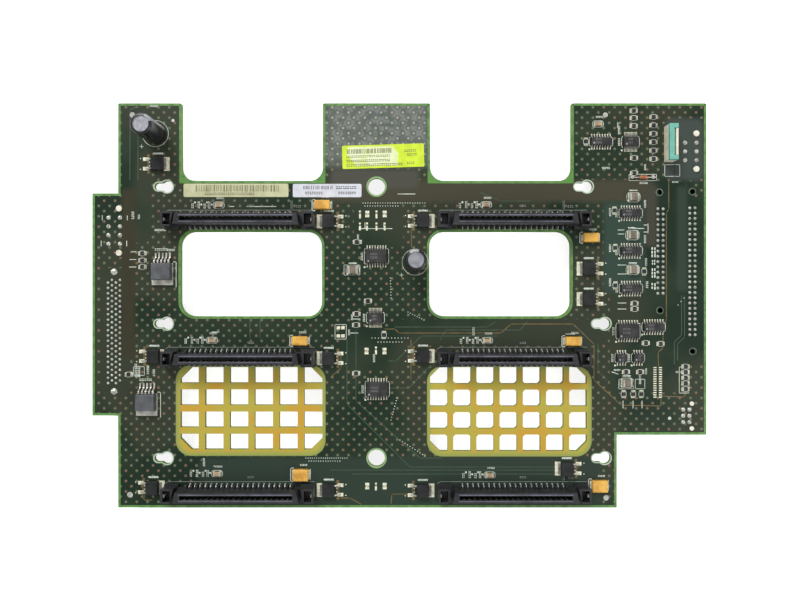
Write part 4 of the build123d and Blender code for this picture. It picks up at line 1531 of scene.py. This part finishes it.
@dataclass
class Labels:
    """Paper labels with plain printed bars and dash clusters in place of words.

    Attributes:
        turn: How far the bright label is turned, in degrees.
        corner: Radius of the labels' corners.
        ink: Thickness of the print.
        sink: How deep the print is sunk in the paper.
    """

    turn: float = 1.8
    corner: float = 0.7 * MM
    ink: float = 0.01 * MM
    sink: float = 0.005 * MM

    def build(self) -> None:
        """Print each label."""
        spans = solids_of("labels")
        looks = (CREAM_PAPER, PAPER, BRIGHT_PAPER)
        names = ("barcode_label", "white_label", "bright_label")
        for span, finish, name in zip(spans, looks, names):
            self.paper(span, finish, name)
        top = spans[0][1].z
        self.bars(top)
        self.dashes(top)
        self.bright_print(spans[2])
        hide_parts("labels")

    def paper(self, span: Span, finish: Finish, name: str) -> None:
        """Cut one label with rounded corners.

        Args:
            span: The box of its CAD solid.
            finish: Its paper.
            name: The piece's name.
        """
        low, high = span
        centre, size = middle(span), high - low
        turn = self.turn if name == "bright_label" else 0.0
        if turn:
            tilt = math.sin(math.radians(turn))
            size = Vector((size.x - tilt * size.y, size.y - tilt * size.x, size.z))
        sheet = block(name, -size / 2, size / 2)
        activate(sheet)
        bpy.ops.object.mode_set(mode="EDIT")
        bpy.ops.mesh.select_all(action="DESELECT")
        bpy.ops.object.mode_set(mode="OBJECT")
        for edge in sheet.data.edges:
            first, second = (sheet.data.vertices[i].co for i in edge.vertices)
            edge.select = abs(first.z - second.z) > size.z / 2
        bpy.ops.object.mode_set(mode="EDIT")
        bpy.ops.mesh.select_mode(type="EDGE")
        bpy.ops.mesh.bevel(offset=self.corner, segments=4, affect="EDGES")
        close_edit()
        sheet.data.transform(at(centre.x, centre.y, centre.z, turn))
        finish_piece(sheet, finish)

    def bars(self, top: float) -> None:
        """Print the bars of the cream label.

        Args:
            top: Z of the labels' upper face.
        """
        print_sheet = StrokeSheet("barcode_print", BAR_INK, top - self.sink, self.ink)
        x, end, low, high = CREAM_BARS
        while x < end:
            width = RANDOM.choice((0.22, 0.3, 0.5))
            print_sheet.line((x, low), (x, high), width)
            x += width + RANDOM.choice((0.32, 0.45, 0.6))
        for row in CREAM_ROWS:
            print_sheet.words(*row)
        print_sheet.build()

    def dashes(self, top: float) -> None:
        """Print the rows of the white label.

        Args:
            top: Z of the labels' upper face.
        """
        print_sheet = StrokeSheet("white_label_print", INK, top - self.sink, self.ink)
        print_sheet.bars(*WHITE_BARS, 0.3, (0.65, 0.85, 1.1))
        for row in WHITE_ROWS:
            print_sheet.words(*row)
        print_sheet.build()

    def bright_print(self, span: Span) -> None:
        """Print the bright label, whose left part is paled by a painted glare.

        Args:
            span: The box of its CAD solid.
        """
        centre = middle(span)
        top = span[1].z
        tilt = at(centre.x, centre.y, 0, self.turn)
        # Painted glare: pale patches over the left part of the bright label
        worn = StrokeSheet("label_glare_patches", LABEL_GLARE, top - 0.008 * MM, self.ink, tilt)
        for index in range(9):
            worn.patch(-6 + index * 0.35, 4.3 - index * 1.05, 24.6 - abs(index - 3) * 0.9, 1.06)
        worn.build()
        rows = StrokeSheet("bright_label_print", BAR_INK, top - 0.004 * MM, self.ink, tilt)
        rows.bars(*BRIGHT_BARS, 0.34, (0.5, 0.7, 0.95))
        for row in BRIGHT_ROWS:
            rows.words(*row)
        rows.build()


@dataclass
class Solder:
    """Solder joints of the rear connectors, seen on the component side, and those below the board.

    Attributes:
        below: Radius of a joint under the board.
    """

    below: float = 0.75 * MM

    def build(self) -> None:
        """Place every joint."""
        low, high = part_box("board")
        for name, node, radius in (
            ("power_joints", "power_header_pins", 1.05),
            ("signal_port_joints", "dense_connector_contacts", 0.66),
            ("ribbon_joints", "header_pins", 0.74),
            ("board_lock_joints", "dense_connector_locks", 1.6),
        ):
            joint = dome(radius * MM, 0.4 * MM)
            places = [at(middle(span).x, middle(span).y, high.z) for span in solids_of(node)]
            finish_piece(copies(joint, places, name), SOLDER)
        joint = dome(self.below, 0.45 * MM)
        joint.data.transform(Matrix.Rotation(math.pi, 4, "X"))
        places = []
        for number in SOCKETS:
            for span in solids_of(f"drive_contacts_{number}"):
                centre = middle(span)
                home = middle(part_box(f"drive_socket_{number}")).y
                reach = DriveSockets.outer_row if centre.y > home else -DriveSockets.outer_row
                places += [at(centre.x, centre.y, low.z), at(centre.x, home + reach, low.z)]
        for span in solids_of("capacitor_leads"):
            places.append(at(middle(span).x, middle(span).y, low.z))
        finish_piece(copies(joint, places, "rear_joints"), SOLDER)


@dataclass
class Pads:
    """Bare solder pads: empty light clusters, fiducials, an empty footprint and the parts' own lands.

    Attributes:
        land: Share of a part's length at which its lands lie, from its middle.
        tab_land: Length and width of the land beside a transistor's tab, in millimetres.
        tab_reach: How far that land's middle lies beyond the tab.
        via: Radius of a small via.
    """

    land: float = 0.47
    tab_land: Spot = (2.7, 6.6)
    tab_reach: float = 0.15 * MM
    via: float = 0.24 * MM

    def build(self) -> None:
        """Lay every pad."""
        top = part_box("board")[1].z
        pads = StrokeSheet("bare_pads", CREAM_PAD, top, 0.03 * MM)
        self.clusters(pads)
        self.lands(pads)
        self.tab_lands(pads)
        pads.build()
        self.rounds(top)

    def clusters(self, pads: StrokeSheet) -> None:
        """Lay the pads that carry no part.

        Args:
            pads: The sheet that they are drawn on.
        """
        kinds = ((LIGHT_CLUSTERS, LIGHT_PADS), (SMALL_CLUSTERS, SMALL_PADS), (FOUR_PADS, SINGLE_PAD))
        for places, shapes in kinds:
            for px, py in places:
                x, y = spot(px, py)
                for rise, length, height in shapes:
                    pads.patch(x, y + rise, length, height)
        for column in EMPTY_COLUMNS:
            for row in range(EMPTY_ROWS):
                x, y = spot(column, EMPTY_START + row * EMPTY_STEP)
                pads.patch(x, y, 1.5, 0.55)

    def lands(self, pads: StrokeSheet) -> None:
        """Lay the lands at both ends of a small part, or at the outer end of a lead.

        Args:
            pads: The sheet that they are drawn on.
        """
        homes = solids_of("transistor_bodies") + [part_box(node) for node in CIRCUITS]
        for node, length, extra in PAD_ROWS:
            for low, high in solids_of(node):
                centre, size = middle((low, high)) / MM, (high - low) / MM
                ends = (-1, 1)
                if node.endswith("leads"):
                    home = min((middle(box) / MM for box in homes), key=lambda place: (place - centre).length)
                    away = centre - home
                    ends = (1 if (away.x if size.x > size.y else away.y) > 0 else -1,)
                for side in ends:
                    if size.x > size.y:
                        pads.patch(centre.x + side * size.x * self.land, centre.y, length, size.y + extra)
                    else:
                        pads.patch(centre.x, centre.y + side * size.y * self.land, size.x + extra, length)

    def tab_lands(self, pads: StrokeSheet) -> None:
        """Lay the land that shows beyond each transistor's tab.

        Args:
            pads: The sheet that they are drawn on.
        """
        bodies = solids_of("transistor_bodies")
        for low, high in solids_of("transistor_tabs"):
            tab = middle((low, high))
            home = min(bodies, key=lambda box: (middle(box) - tab).length)
            outer = high.x + self.tab_reach if tab.x > middle(home).x else low.x - self.tab_reach
            pads.patch(outer / MM, tab.y / MM, *self.tab_land)

    def rounds(self, top: float) -> None:
        """Lay the fiducials and the rows of small vias.

        Args:
            top: Z of the board's upper face.
        """
        mark = disc("fiducial", Vector((0, 0, 0)), MM, 0.04 * MM, 20)
        places = []
        for px, py, radius in FIDUCIALS:
            x, y = spot(px, py)
            places.append(at(x * MM, y * MM, top) @ Matrix.Diagonal((radius, radius, 1, 1)))
        finish_piece(copies(mark, places, "fiducials"), SOLDER)
        dot = disc("via", Vector((0, 0, 0)), self.via, 0.02 * MM, 8)
        places = []
        for start, end, count in VIA_ROWS:
            for index in range(count):
                share = index / (count - 1)
                x, y = spot(start[0] + (end[0] - start[0]) * share, start[1] + (end[1] - start[1]) * share)
                places.append(at(x * MM, y * MM, top))
        finish_piece(copies(dot, places, "small_vias"), SILK)


# Pads without a part, in picture places, and the shapes at each: rise, length and height in millimetres
LIGHT_CLUSTERS = ((367.3, 214), (384.7, 214), (366.6, 351), (384.5, 351), (367.3, 486), (384.7, 486))
LIGHT_PADS = ((0.9, 1.9, 1.3), (-0.9, 1.9, 1.3), (0, 1.1, 0.9))
SMALL_CLUSTERS = (
    (360, 214), (376.5, 214), (360, 226), (367, 226), (376.5, 226), (384.7, 226), (376, 350), (376, 486)
)
SMALL_PADS = ((1.2, 0.9, 0.9), (-1.0, 0.9, 2.2))
FOUR_PADS = ((338.4, 327.8), (343, 327.8), (338.4, 335.9), (343, 335.9))
SINGLE_PAD = ((0, 1.7, 1.5),)
# The empty footprint: its two columns, first row and step in the picture, and how many rows
EMPTY_COLUMNS = (654.9, 660.4)
EMPTY_START = 367.6
EMPTY_STEP = 2.27
EMPTY_ROWS = 14
# Fiducials: picture place and radius in millimetres
FIDUCIALS = (
    (132.5, 115, 1.3),
    (173, 120.5, 0.75),
    (605.3, 115, 1.2),
    (130.1, 494.6, 1.35),
    (606.1, 497.7, 1.3),
    (669.6, 418.2, 0.8),
    (632.3, 177, 0.9),
    (653.3, 177, 0.9),
)
# Lands: CAD node, length, and how much wider than the part, in millimetres
PAD_ROWS = (
    ("chip_resistors", 1.0, 0.45),
    ("ceramic_capacitors", 0.9, 0.3),
    ("chip_inductors", 1.0, 0.3),
    ("tantalum_bodies", 1.7, -1.0),
    ("transistor_leads", 2.7, 0.9),
    ("chip_leads", 1.3, 0.08),
)
# Rows of small vias: first and last picture place, and how many
VIA_ROWS = (
    ((363, 203), (425, 203), 26),
    ((365, 206), (398, 206), 14),
    ((306, 458), (347, 458), 20),
    ((309, 461), (340, 461), 14),
    ((372, 338), (408, 338), 12),
    ((378, 342), (402, 342), 9),
    ((390.5, 278), (391, 298), 8),
    ((408, 312), (424, 320), 8),
    ((397, 398), (391, 420), 9),
    ((400, 440), (425, 456), 11),
    ((678, 305), (684, 298), 3),
)


@dataclass
class Markings:
    """White lettering ink: outlines round the parts, bars, brackets and dash clusters."""

    def build(self) -> None:
        """Print every marking."""
        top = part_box("board")[1].z
        ink = StrokeSheet("white_markings", SILK, top + 0.001 * MM, 0.012 * MM)
        thin = StrokeSheet("socket_markings", THIN_SILK, top, 0.015 * MM)
        self.sockets(thin)
        thin.build()
        self.chips(ink)
        self.passives(ink)
        self.power(ink)
        self.extras(ink)
        ink.build()

    def sockets(self, ink: StrokeSheet) -> None:
        """Outline the upper side of each socket.

        Args:
            ink: The sheet that they are drawn on.
        """
        for number in SOCKETS:
            centre = middle(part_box(f"drive_socket_{number}")) / MM
            x, y = centre.x, centre.y
            ink.path([(x - 36.2, y + 4.2), (x - 34.8, y + 5.1), (x + 35.5, y + 5.1)], 0.25)
            for dx, dy, count, height, way in SOCKET_ROWS:
                ink.words(x + dx, y + dy, count, height, way)

    def chips(self, ink: StrokeSheet) -> None:
        """Bracket both ends of each circuit, with a dot at its first lead.

        Args:
            ink: The sheet that they are drawn on.
        """
        for node in CIRCUITS:
            low, high = (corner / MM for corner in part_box(node))
            level = (low.y + high.y) / 2
            for x, way in ((low.x - 0.7, 1), (high.x + 0.7, -1)):
                tip = x + way * 0.5
                ink.path([(tip, low.y - 0.2), (x, low.y + 0.4), (x, high.y - 0.4), (tip, high.y + 0.2)], 0.28)
            ink.patch(low.x - 0.6, low.y - 1.7, 0.8, 0.8)
            ink.words(low.x - 1.9, level - 1.9, 5, 1.0, Way.ALONG)

    def passives(self, ink: StrokeSheet) -> None:
        """Draw the lines beside the small chips and the outlines of the larger ones.

        Args:
            ink: The sheet that they are drawn on.
        """
        for low, high in solids_of("chip_resistors"):
            low, high = low / MM, high / MM
            if high.x - low.x > high.y - low.y:
                for y in (low.y - 0.42, high.y + 0.42):
                    ink.line((low.x + 0.5, y), (high.x - 0.5, y), 0.22)
            else:
                for x in (low.x - 0.42, high.x + 0.42):
                    ink.line((x, low.y + 0.5), (x, high.y - 0.5), 0.22)
        for low, high in solids_of("ceramic_capacitors"):
            centre = middle((low, high)) / MM
            x, y = centre.x, centre.y
            ink.octagon(x, y, 2.6, 1.5, 0.6)
            ink.words(x - 1.0, y + 3.4, 5, 0.9)
            if y > TOP_EDGE_ROW:
                continue
            for index, shift in enumerate((-12.6, -9.6, -6.8, -4.6)):
                ink.words(x + shift, y - 1.5, 3 + index % 2, 1.1, Way.ALONG)
                ink.patch(x + shift + 1.2, y + 1.3 - index % 2, 0.8, 0.8)
        for low, high in solids_of("chip_inductors"):
            centre = middle((low, high)) / MM
            x, y = centre.x, centre.y
            ink.octagon(x, y, 3.2, 2.3, 1.0)
            ink.line((x - 1.7, y + 3.3), (x + 1.7, y + 3.3), 0.5)
        for low, high in solids_of("tantalum_bodies"):
            low, high = low / MM, high / MM
            left, top, foot = low.x - 1.3, high.y + 0.4, low.y - 0.4
            ink.path([(low.x, top), (left, top), (left, foot), (low.x, foot)], 0.4)
            ink.line((high.x + 0.9, low.y + 0.2), (high.x + 0.9, high.y - 0.2), 0.25)
            ink.words((low.x + high.x) / 2 - 0.4, high.y + 1.8, 5, 0.9)

    def power(self, ink: StrokeSheet) -> None:
        """Mark the transistors, the regulators, the diode and the tall capacitors.

        Args:
            ink: The sheet that they are drawn on.
        """
        leads = [middle(span) / MM for span in solids_of("transistor_leads")]
        for low, high in solids_of("transistor_bodies"):
            centre = middle((low, high)) / MM
            ink.words(centre.x - 2.0, high.y / MM + 1.7, 6, 1.0)
            ink.line((centre.x - 2.2, high.y / MM + 1.7), (centre.x + 2.2, high.y / MM + 1.7), 0.35)
            near = min(leads, key=lambda place: (place - centre).length)
            side = 1 if near.x > centre.x else -1
            for lift in (-0.9, 0.9):
                ink.patch(centre.x + side * 4.0, centre.y + lift, 0.55, 0.55)
            for lift in (-2.6, 2.6):
                ink.patch(centre.x + side * 8.3, centre.y + lift, 0.5, 0.5)
        for low, high in (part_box("regulator_body_1"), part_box("regulator_body_2")):
            low, high = low / MM, high / MM
            right, top = high.x + 1.5, high.y + 0.6
            ink.path([(high.x + 0.2, top), (right, top), (right, low.y - 3.2)], 0.3)
            ink.words(low.x + 1.0, high.y + 6.6, 7, 1.1)
        ink.box(117.0, 61.5, 13.2, 3.0)
        ink.words(115.6, 58.9, 5, 1.0)
        for low, high in solids_of("capacitor_cans"):
            centre = middle((low, high)) / MM
            ink.ring(centre.x, centre.y, 6.3, 0.24, 10)
            ink.line((centre.x - 7.4, centre.y - 6.2), (centre.x - 5.8, centre.y - 6.2), 0.25)
            ink.line((centre.x - 6.6, centre.y - 7.0), (centre.x - 6.6, centre.y - 5.4), 0.25)

    def extras(self, ink: StrokeSheet) -> None:
        """Print the lettering column, the ticks and the bars that belong to no part.

        Args:
            ink: The sheet that they are drawn on.
        """
        for px, py, count, height, way in LETTERING:
            x, y = spot(px, py)
            ink.words(x, y, count, height, way)
        for px in BARS:
            start, end = (spot(*pair) for pair in px)
            ink.line(start, end, 0.32)
        for px, py, length, height in OUTLINES:
            x, y = spot(px, py)
            ink.box(x, y, length, height)
        rims = StrokeSheet("header_hole_rims", RIM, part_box("board")[1].z, 0.015 * MM)
        for x, y in HEADER_HOLES:
            rims.ring(x, y, 1.6, 0.4, 20)
        rims.build()


# Rows above each socket, from its middle in millimetres: start, clusters, height and way
SOCKET_ROWS = (
    (26.6, 6.9, 3, 1.2, Way.ACROSS),
    (24.6, 5.9, 5, 1.0, Way.ALONG),
    (3.5, 7.2, 4, 1.0, Way.ACROSS),
)
# Ceramics above this height, in millimetres, have no marks beside them
TOP_EDGE_ROW = 80
# Middles of the holes that have a drawn rim, in millimetres
HEADER_HOLES = ((124.95, 54.37), (125.24, -2.4), (140.82, 54.71), (141.06, -22.12))

# Lettering: start in picture places, clusters, height in millimetres and way
LETTERING = (
    (653.5, 289, 2, 2.2, Way.ALONG),
    (653.5, 277.5, 3, 2.0, Way.ALONG),
    (653.5, 264.5, 2, 1.7, Way.ALONG),
    (653.5, 257, 3, 2.2, Way.ALONG),
    (150, 106, 5, 1.0, Way.ACROSS),
    (155, 230, 7, 1.0, Way.ACROSS),
    (131, 252, 4, 0.9, Way.ACROSS),
    (136, 377, 7, 1.2, Way.ALONG),
    (139, 377, 6, 1.2, Way.ALONG),
    (148, 374, 5, 1.1, Way.ALONG),
    (154, 376, 4, 1.1, Way.ALONG),
    (133, 219, 4, 1.2, Way.ALONG),
    (139, 219, 3, 1.0, Way.ALONG),
    (167, 250, 5, 1.0, Way.ACROSS),
    (358, 240, 4, 0.9, Way.ALONG),
    (352, 320, 4, 0.9, Way.ALONG),
    (349, 335, 4, 0.9, Way.ALONG),
    (374, 362, 5, 1.0, Way.ALONG),
    (361, 244, 3, 0.9, Way.ALONG),
    (204, 466, 5, 1.0, Way.ALONG),
    (473.5, 335, 5, 1.0, Way.ALONG),
    (645, 208, 5, 1.0, Way.ALONG),
    (645, 243, 5, 1.0, Way.ALONG),
    (646, 266, 5, 1.0, Way.ALONG),
    (647, 288, 4, 1.1, Way.ALONG),
    (610, 216, 5, 1.0, Way.ALONG),
    (610, 252, 5, 1.0, Way.ALONG),
    (610, 286, 5, 1.0, Way.ALONG),
    (619, 134, 5, 1.0, Way.ALONG),
    (628, 228, 4, 1.0, Way.ACROSS),
    (602, 168, 5, 1.0, Way.ACROSS),
    (618, 128, 4, 0.9, Way.ALONG),
    (645, 170, 4, 0.9, Way.ALONG),
    (614, 370, 5, 0.8, Way.ACROSS),
    (640, 384, 6, 1.0, Way.ALONG),
    (646, 374, 4, 0.9, Way.ALONG),
    (672, 182, 5, 0.8, Way.ACROSS),
    (676, 372, 4, 0.9, Way.ACROSS),
)
# Bars: both ends in picture places
BARS = (
    ((131, 252.5), (136, 252.5)),
    ((130, 259.5), (136, 259.5)),
    ((129.5, 267), (136, 267)),
    ((365, 223), (365, 228)),
    ((384, 223), (384, 228)),
    ((359, 228.6), (392, 228.6)),
    ((618, 230), (624, 230)),
    ((618, 234), (624, 234)),
    ((618, 265), (626, 265)),
    ((618, 274), (626, 274)),
    ((618, 303), (626, 303)),
    ((618, 309), (626, 309)),
    ((612, 372), (618, 374)),
    ((623, 401), (623, 408)),
    ((633, 401), (633, 408)),
    ((642, 401), (642, 408)),
    ((636, 228.5), (644, 228.5)),
    ((644, 225), (648, 225)),
    ((644, 232), (648, 232)),
    ((648, 224), (648, 233)),
    ((212, 332), (219, 332)),
    ((214, 466), (222, 466)),
    ((247, 206.5), (276, 206.5)),
    ((230, 206.5), (234, 206.5)),
    ((566, 334), (575, 334)),
    ((398, 194), (415, 194)),
    ((102.4, 215.5), (102.4, 220)),
    ((127.4, 216), (127.4, 220)),
    ((101.3, 241), (101.3, 246)),
    ((126.8, 241), (126.8, 246)),
    ((353, 319), (360, 319)),
    ((349, 333), (358, 333)),
    ((353, 241), (361, 241)),
    ((440, 494), (446, 494)),
)
# Outlined boxes: middle in picture places, length and height in millimetres
OUTLINES = (
    (669.5, 170.5, 4.6, 5.6),
    (677, 170.5, 2.6, 5.6),
    (139, 371, 5.2, 4.2),
    (340.7, 331.8, 5.4, 7.0),
    (626, 384, 7.0, 4.6),
    (640, 384, 4.6, 4.6),
    (352, 270, 7.6, 4.8),
    (684, 380, 4.6, 12.5),
)


@dataclass
class Tracks:
    """Copper that shows through the mask.

    Attributes:
        bright_width: Width of a bright trace in millimetres.
        deep_width: Width of a deep trace in millimetres.
    """

    bright_width: float = 0.42
    deep_width: float = 0.34

    def build(self) -> None:
        """Draw the bright and the deep traces."""
        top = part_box("board")[1].z
        bright = StrokeSheet("bright_traces", COPPER, top, 0.008 * MM)
        for px in BRIGHT_TRACES:
            bright.path([spot(*pair) for pair in px], self.bright_width)
        for low, high in solids_of("transistor_leads"):
            centre = middle((low, high)) / MM
            bright.patch(centre.x, centre.y, 1.3, 4.7)
        bright.build()
        deep = StrokeSheet("deep_traces", DIM_COPPER, top, 0.006 * MM)
        for px in DEEP_TRACES:
            deep.path([spot(*pair) for pair in px], self.deep_width)
        deep.build()


def spot(px: float, py: float) -> Spot:
    """Turn a place in the reference picture into millimetres on the board."""
    return (px - PICTURE_AXIS[0]) / PICTURE_SCALE, (PICTURE_AXIS[1] - py) / PICTURE_SCALE


# Middle lines of the traces, in picture places
BRIGHT_TRACES = (
    ((385, 329), (395, 329), (399, 333), (501, 333), (511, 324), (573, 324), (594, 344), (594, 380),
     (621, 405)),
    ((621, 405), (661, 406), (661, 396)),
    ((668.7, 180), (668.7, 209), (666.4, 213), (666.4, 230)),
    ((666.3, 230), (666.3, 318), (663, 335), (663, 348), (658, 352), (658.5, 366)),
    ((660, 396), (684, 397), (688, 388)),
    ((411, 340), (411, 379)),
    ((341, 352), (341, 368), (331, 377)),
    ((411, 494), (392, 494), (391, 503)),
    ((341, 498), (350, 498), (361, 504)),
    ((411.5, 222), (411.5, 247)),
    ((144, 494), (144, 500), (152, 500)),
)
DEEP_TRACES = (
    ((389, 361), (396, 361), (421, 336), (497, 336)),
    ((347, 404), (410, 467), (580, 467)),
    ((356, 401), (420, 458), (441, 458)),
    ((347, 404), (347, 340)),
    ((356, 401), (356, 330)),
    ((388, 388), (409, 388), (430, 366)),
    ((395, 327), (487, 327), (495, 322)),
    ((598, 344), (598, 372), (606, 378), (606, 380)),
    ((480, 192), (500, 201), (530, 201)),
    ((440, 340), (446, 330), (520, 330), (527, 322)),
    ((681.5, 296), (681.5, 335), (674.3, 342), (674.3, 364)),
    ((684.5, 296), (684.5, 337), (677.5, 344), (677.5, 360)),
    ((250, 320), (250, 338)),
    ((260, 320), (260, 338)),
    ((130, 180), (130, 110), (141, 104)),
    ((138, 180), (138, 130)),
    ((330, 470), (570, 470)),
    ((352, 474), (580, 474)),
    ((400, 203), (418, 203), (424, 209)),
)


# Lamps: name, place, size in metres and power in watts
LAMPS = (
    ("key", (-0.55, 1.25, 1.15), 0.7, 26.0),
    ("fill", (1.35, -0.7, 1.2), 0.9, 14.0),
)


@dataclass
class Studio:
    """Floor, lamps and the camera over the board.

    Attributes:
        drop: How far the floor lies below the rear connectors.
        daylight: Strength of the even white light.
        glow: How bright the floor looks to the camera.
        lens: The camera's focal length in millimetres.
        eye: The camera's X and Y, and its height above the board.
    """

    drop: float = 0.2 * MM
    daylight: float = 0.55
    glow: float = 0.78
    lens: float = 32.3
    eye: tuple[float, float, float] = (0.3 * MM, 2.6 * MM, 345 * MM)

    def build(self) -> None:
        """Set the stage and the camera."""
        deselect()
        bpy.ops.mesh.primitive_plane_add(size=4, location=(0, 0, -self.drop))
        floor = bpy.context.object
        floor.name = "floor"
        floor.data.materials.append(self.floor_paint())
        world = bpy.data.worlds.new("studio")
        bpy.context.scene.world = world
        world.use_nodes = True
        sky = world.node_tree.nodes["Background"].inputs
        sky["Color"].default_value = (1, 1, 1, 1)
        sky["Strength"].default_value = self.daylight
        for name, place, size, power in LAMPS:
            lamp = bpy.data.lights.new(name, "AREA")
            lamp.size = size
            lamp.energy = power
            holder = bpy.data.objects.new(name, lamp)
            bpy.context.scene.collection.objects.link(holder)
            holder.location = place
            holder.rotation_euler = (-Vector(place)).to_track_quat("-Z", "Y").to_euler()
        self.camera()
        bpy.context.scene.view_settings.view_transform = "Standard"

    def floor_paint(self) -> bpy.types.Material:
        """Paint the floor white to the camera and plain pale to the rest.

        Returns:
            The floor's material.
        """
        paint = bpy.data.materials.new("pale floor")
        paint.use_nodes = True
        nodes, links = paint.node_tree.nodes, paint.node_tree.links
        surface = nodes["Principled BSDF"].inputs
        surface["Base Color"].default_value = tone(250, 250, 250)
        surface["Roughness"].default_value = 0.9
        glow = nodes.new("ShaderNodeMath")
        glow.operation = "MULTIPLY"
        glow.inputs[1].default_value = self.glow
        links.new(nodes.new("ShaderNodeLightPath").outputs["Is Camera Ray"], glow.inputs[0])
        surface["Emission Color"].default_value = (1, 1, 1, 1)
        links.new(glow.outputs["Value"], surface["Emission Strength"])
        return paint

    def camera(self) -> None:
        """Look straight down from above the board."""
        data = bpy.data.cameras.new("camera")
        data.sensor_width = 36
        data.lens = self.lens
        camera = bpy.data.objects.new("camera", data)
        bpy.context.scene.collection.objects.link(camera)
        camera.location = (self.eye[0], self.eye[1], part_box("board")[1].z + self.eye[2])
        bpy.context.scene.camera = camera


def main() -> None:
    """Build each sub-assembly in order."""
    logging.basicConfig(level=logging.INFO)
    for assembly in (
        Laminate(),
        DriveSockets(),
        Capacitors(),
        Circuits(),
        PowerParts(),
        Passives(),
        SmallConnectors(),
        Labels(),
        Solder(),
        Tracks(),
        Pads(),
        Markings(),
        Studio(),
    ):
        assembly.build()
        LOG.info("built %s", type(assembly).__name__)


if __name__ == "__main__":
    main()
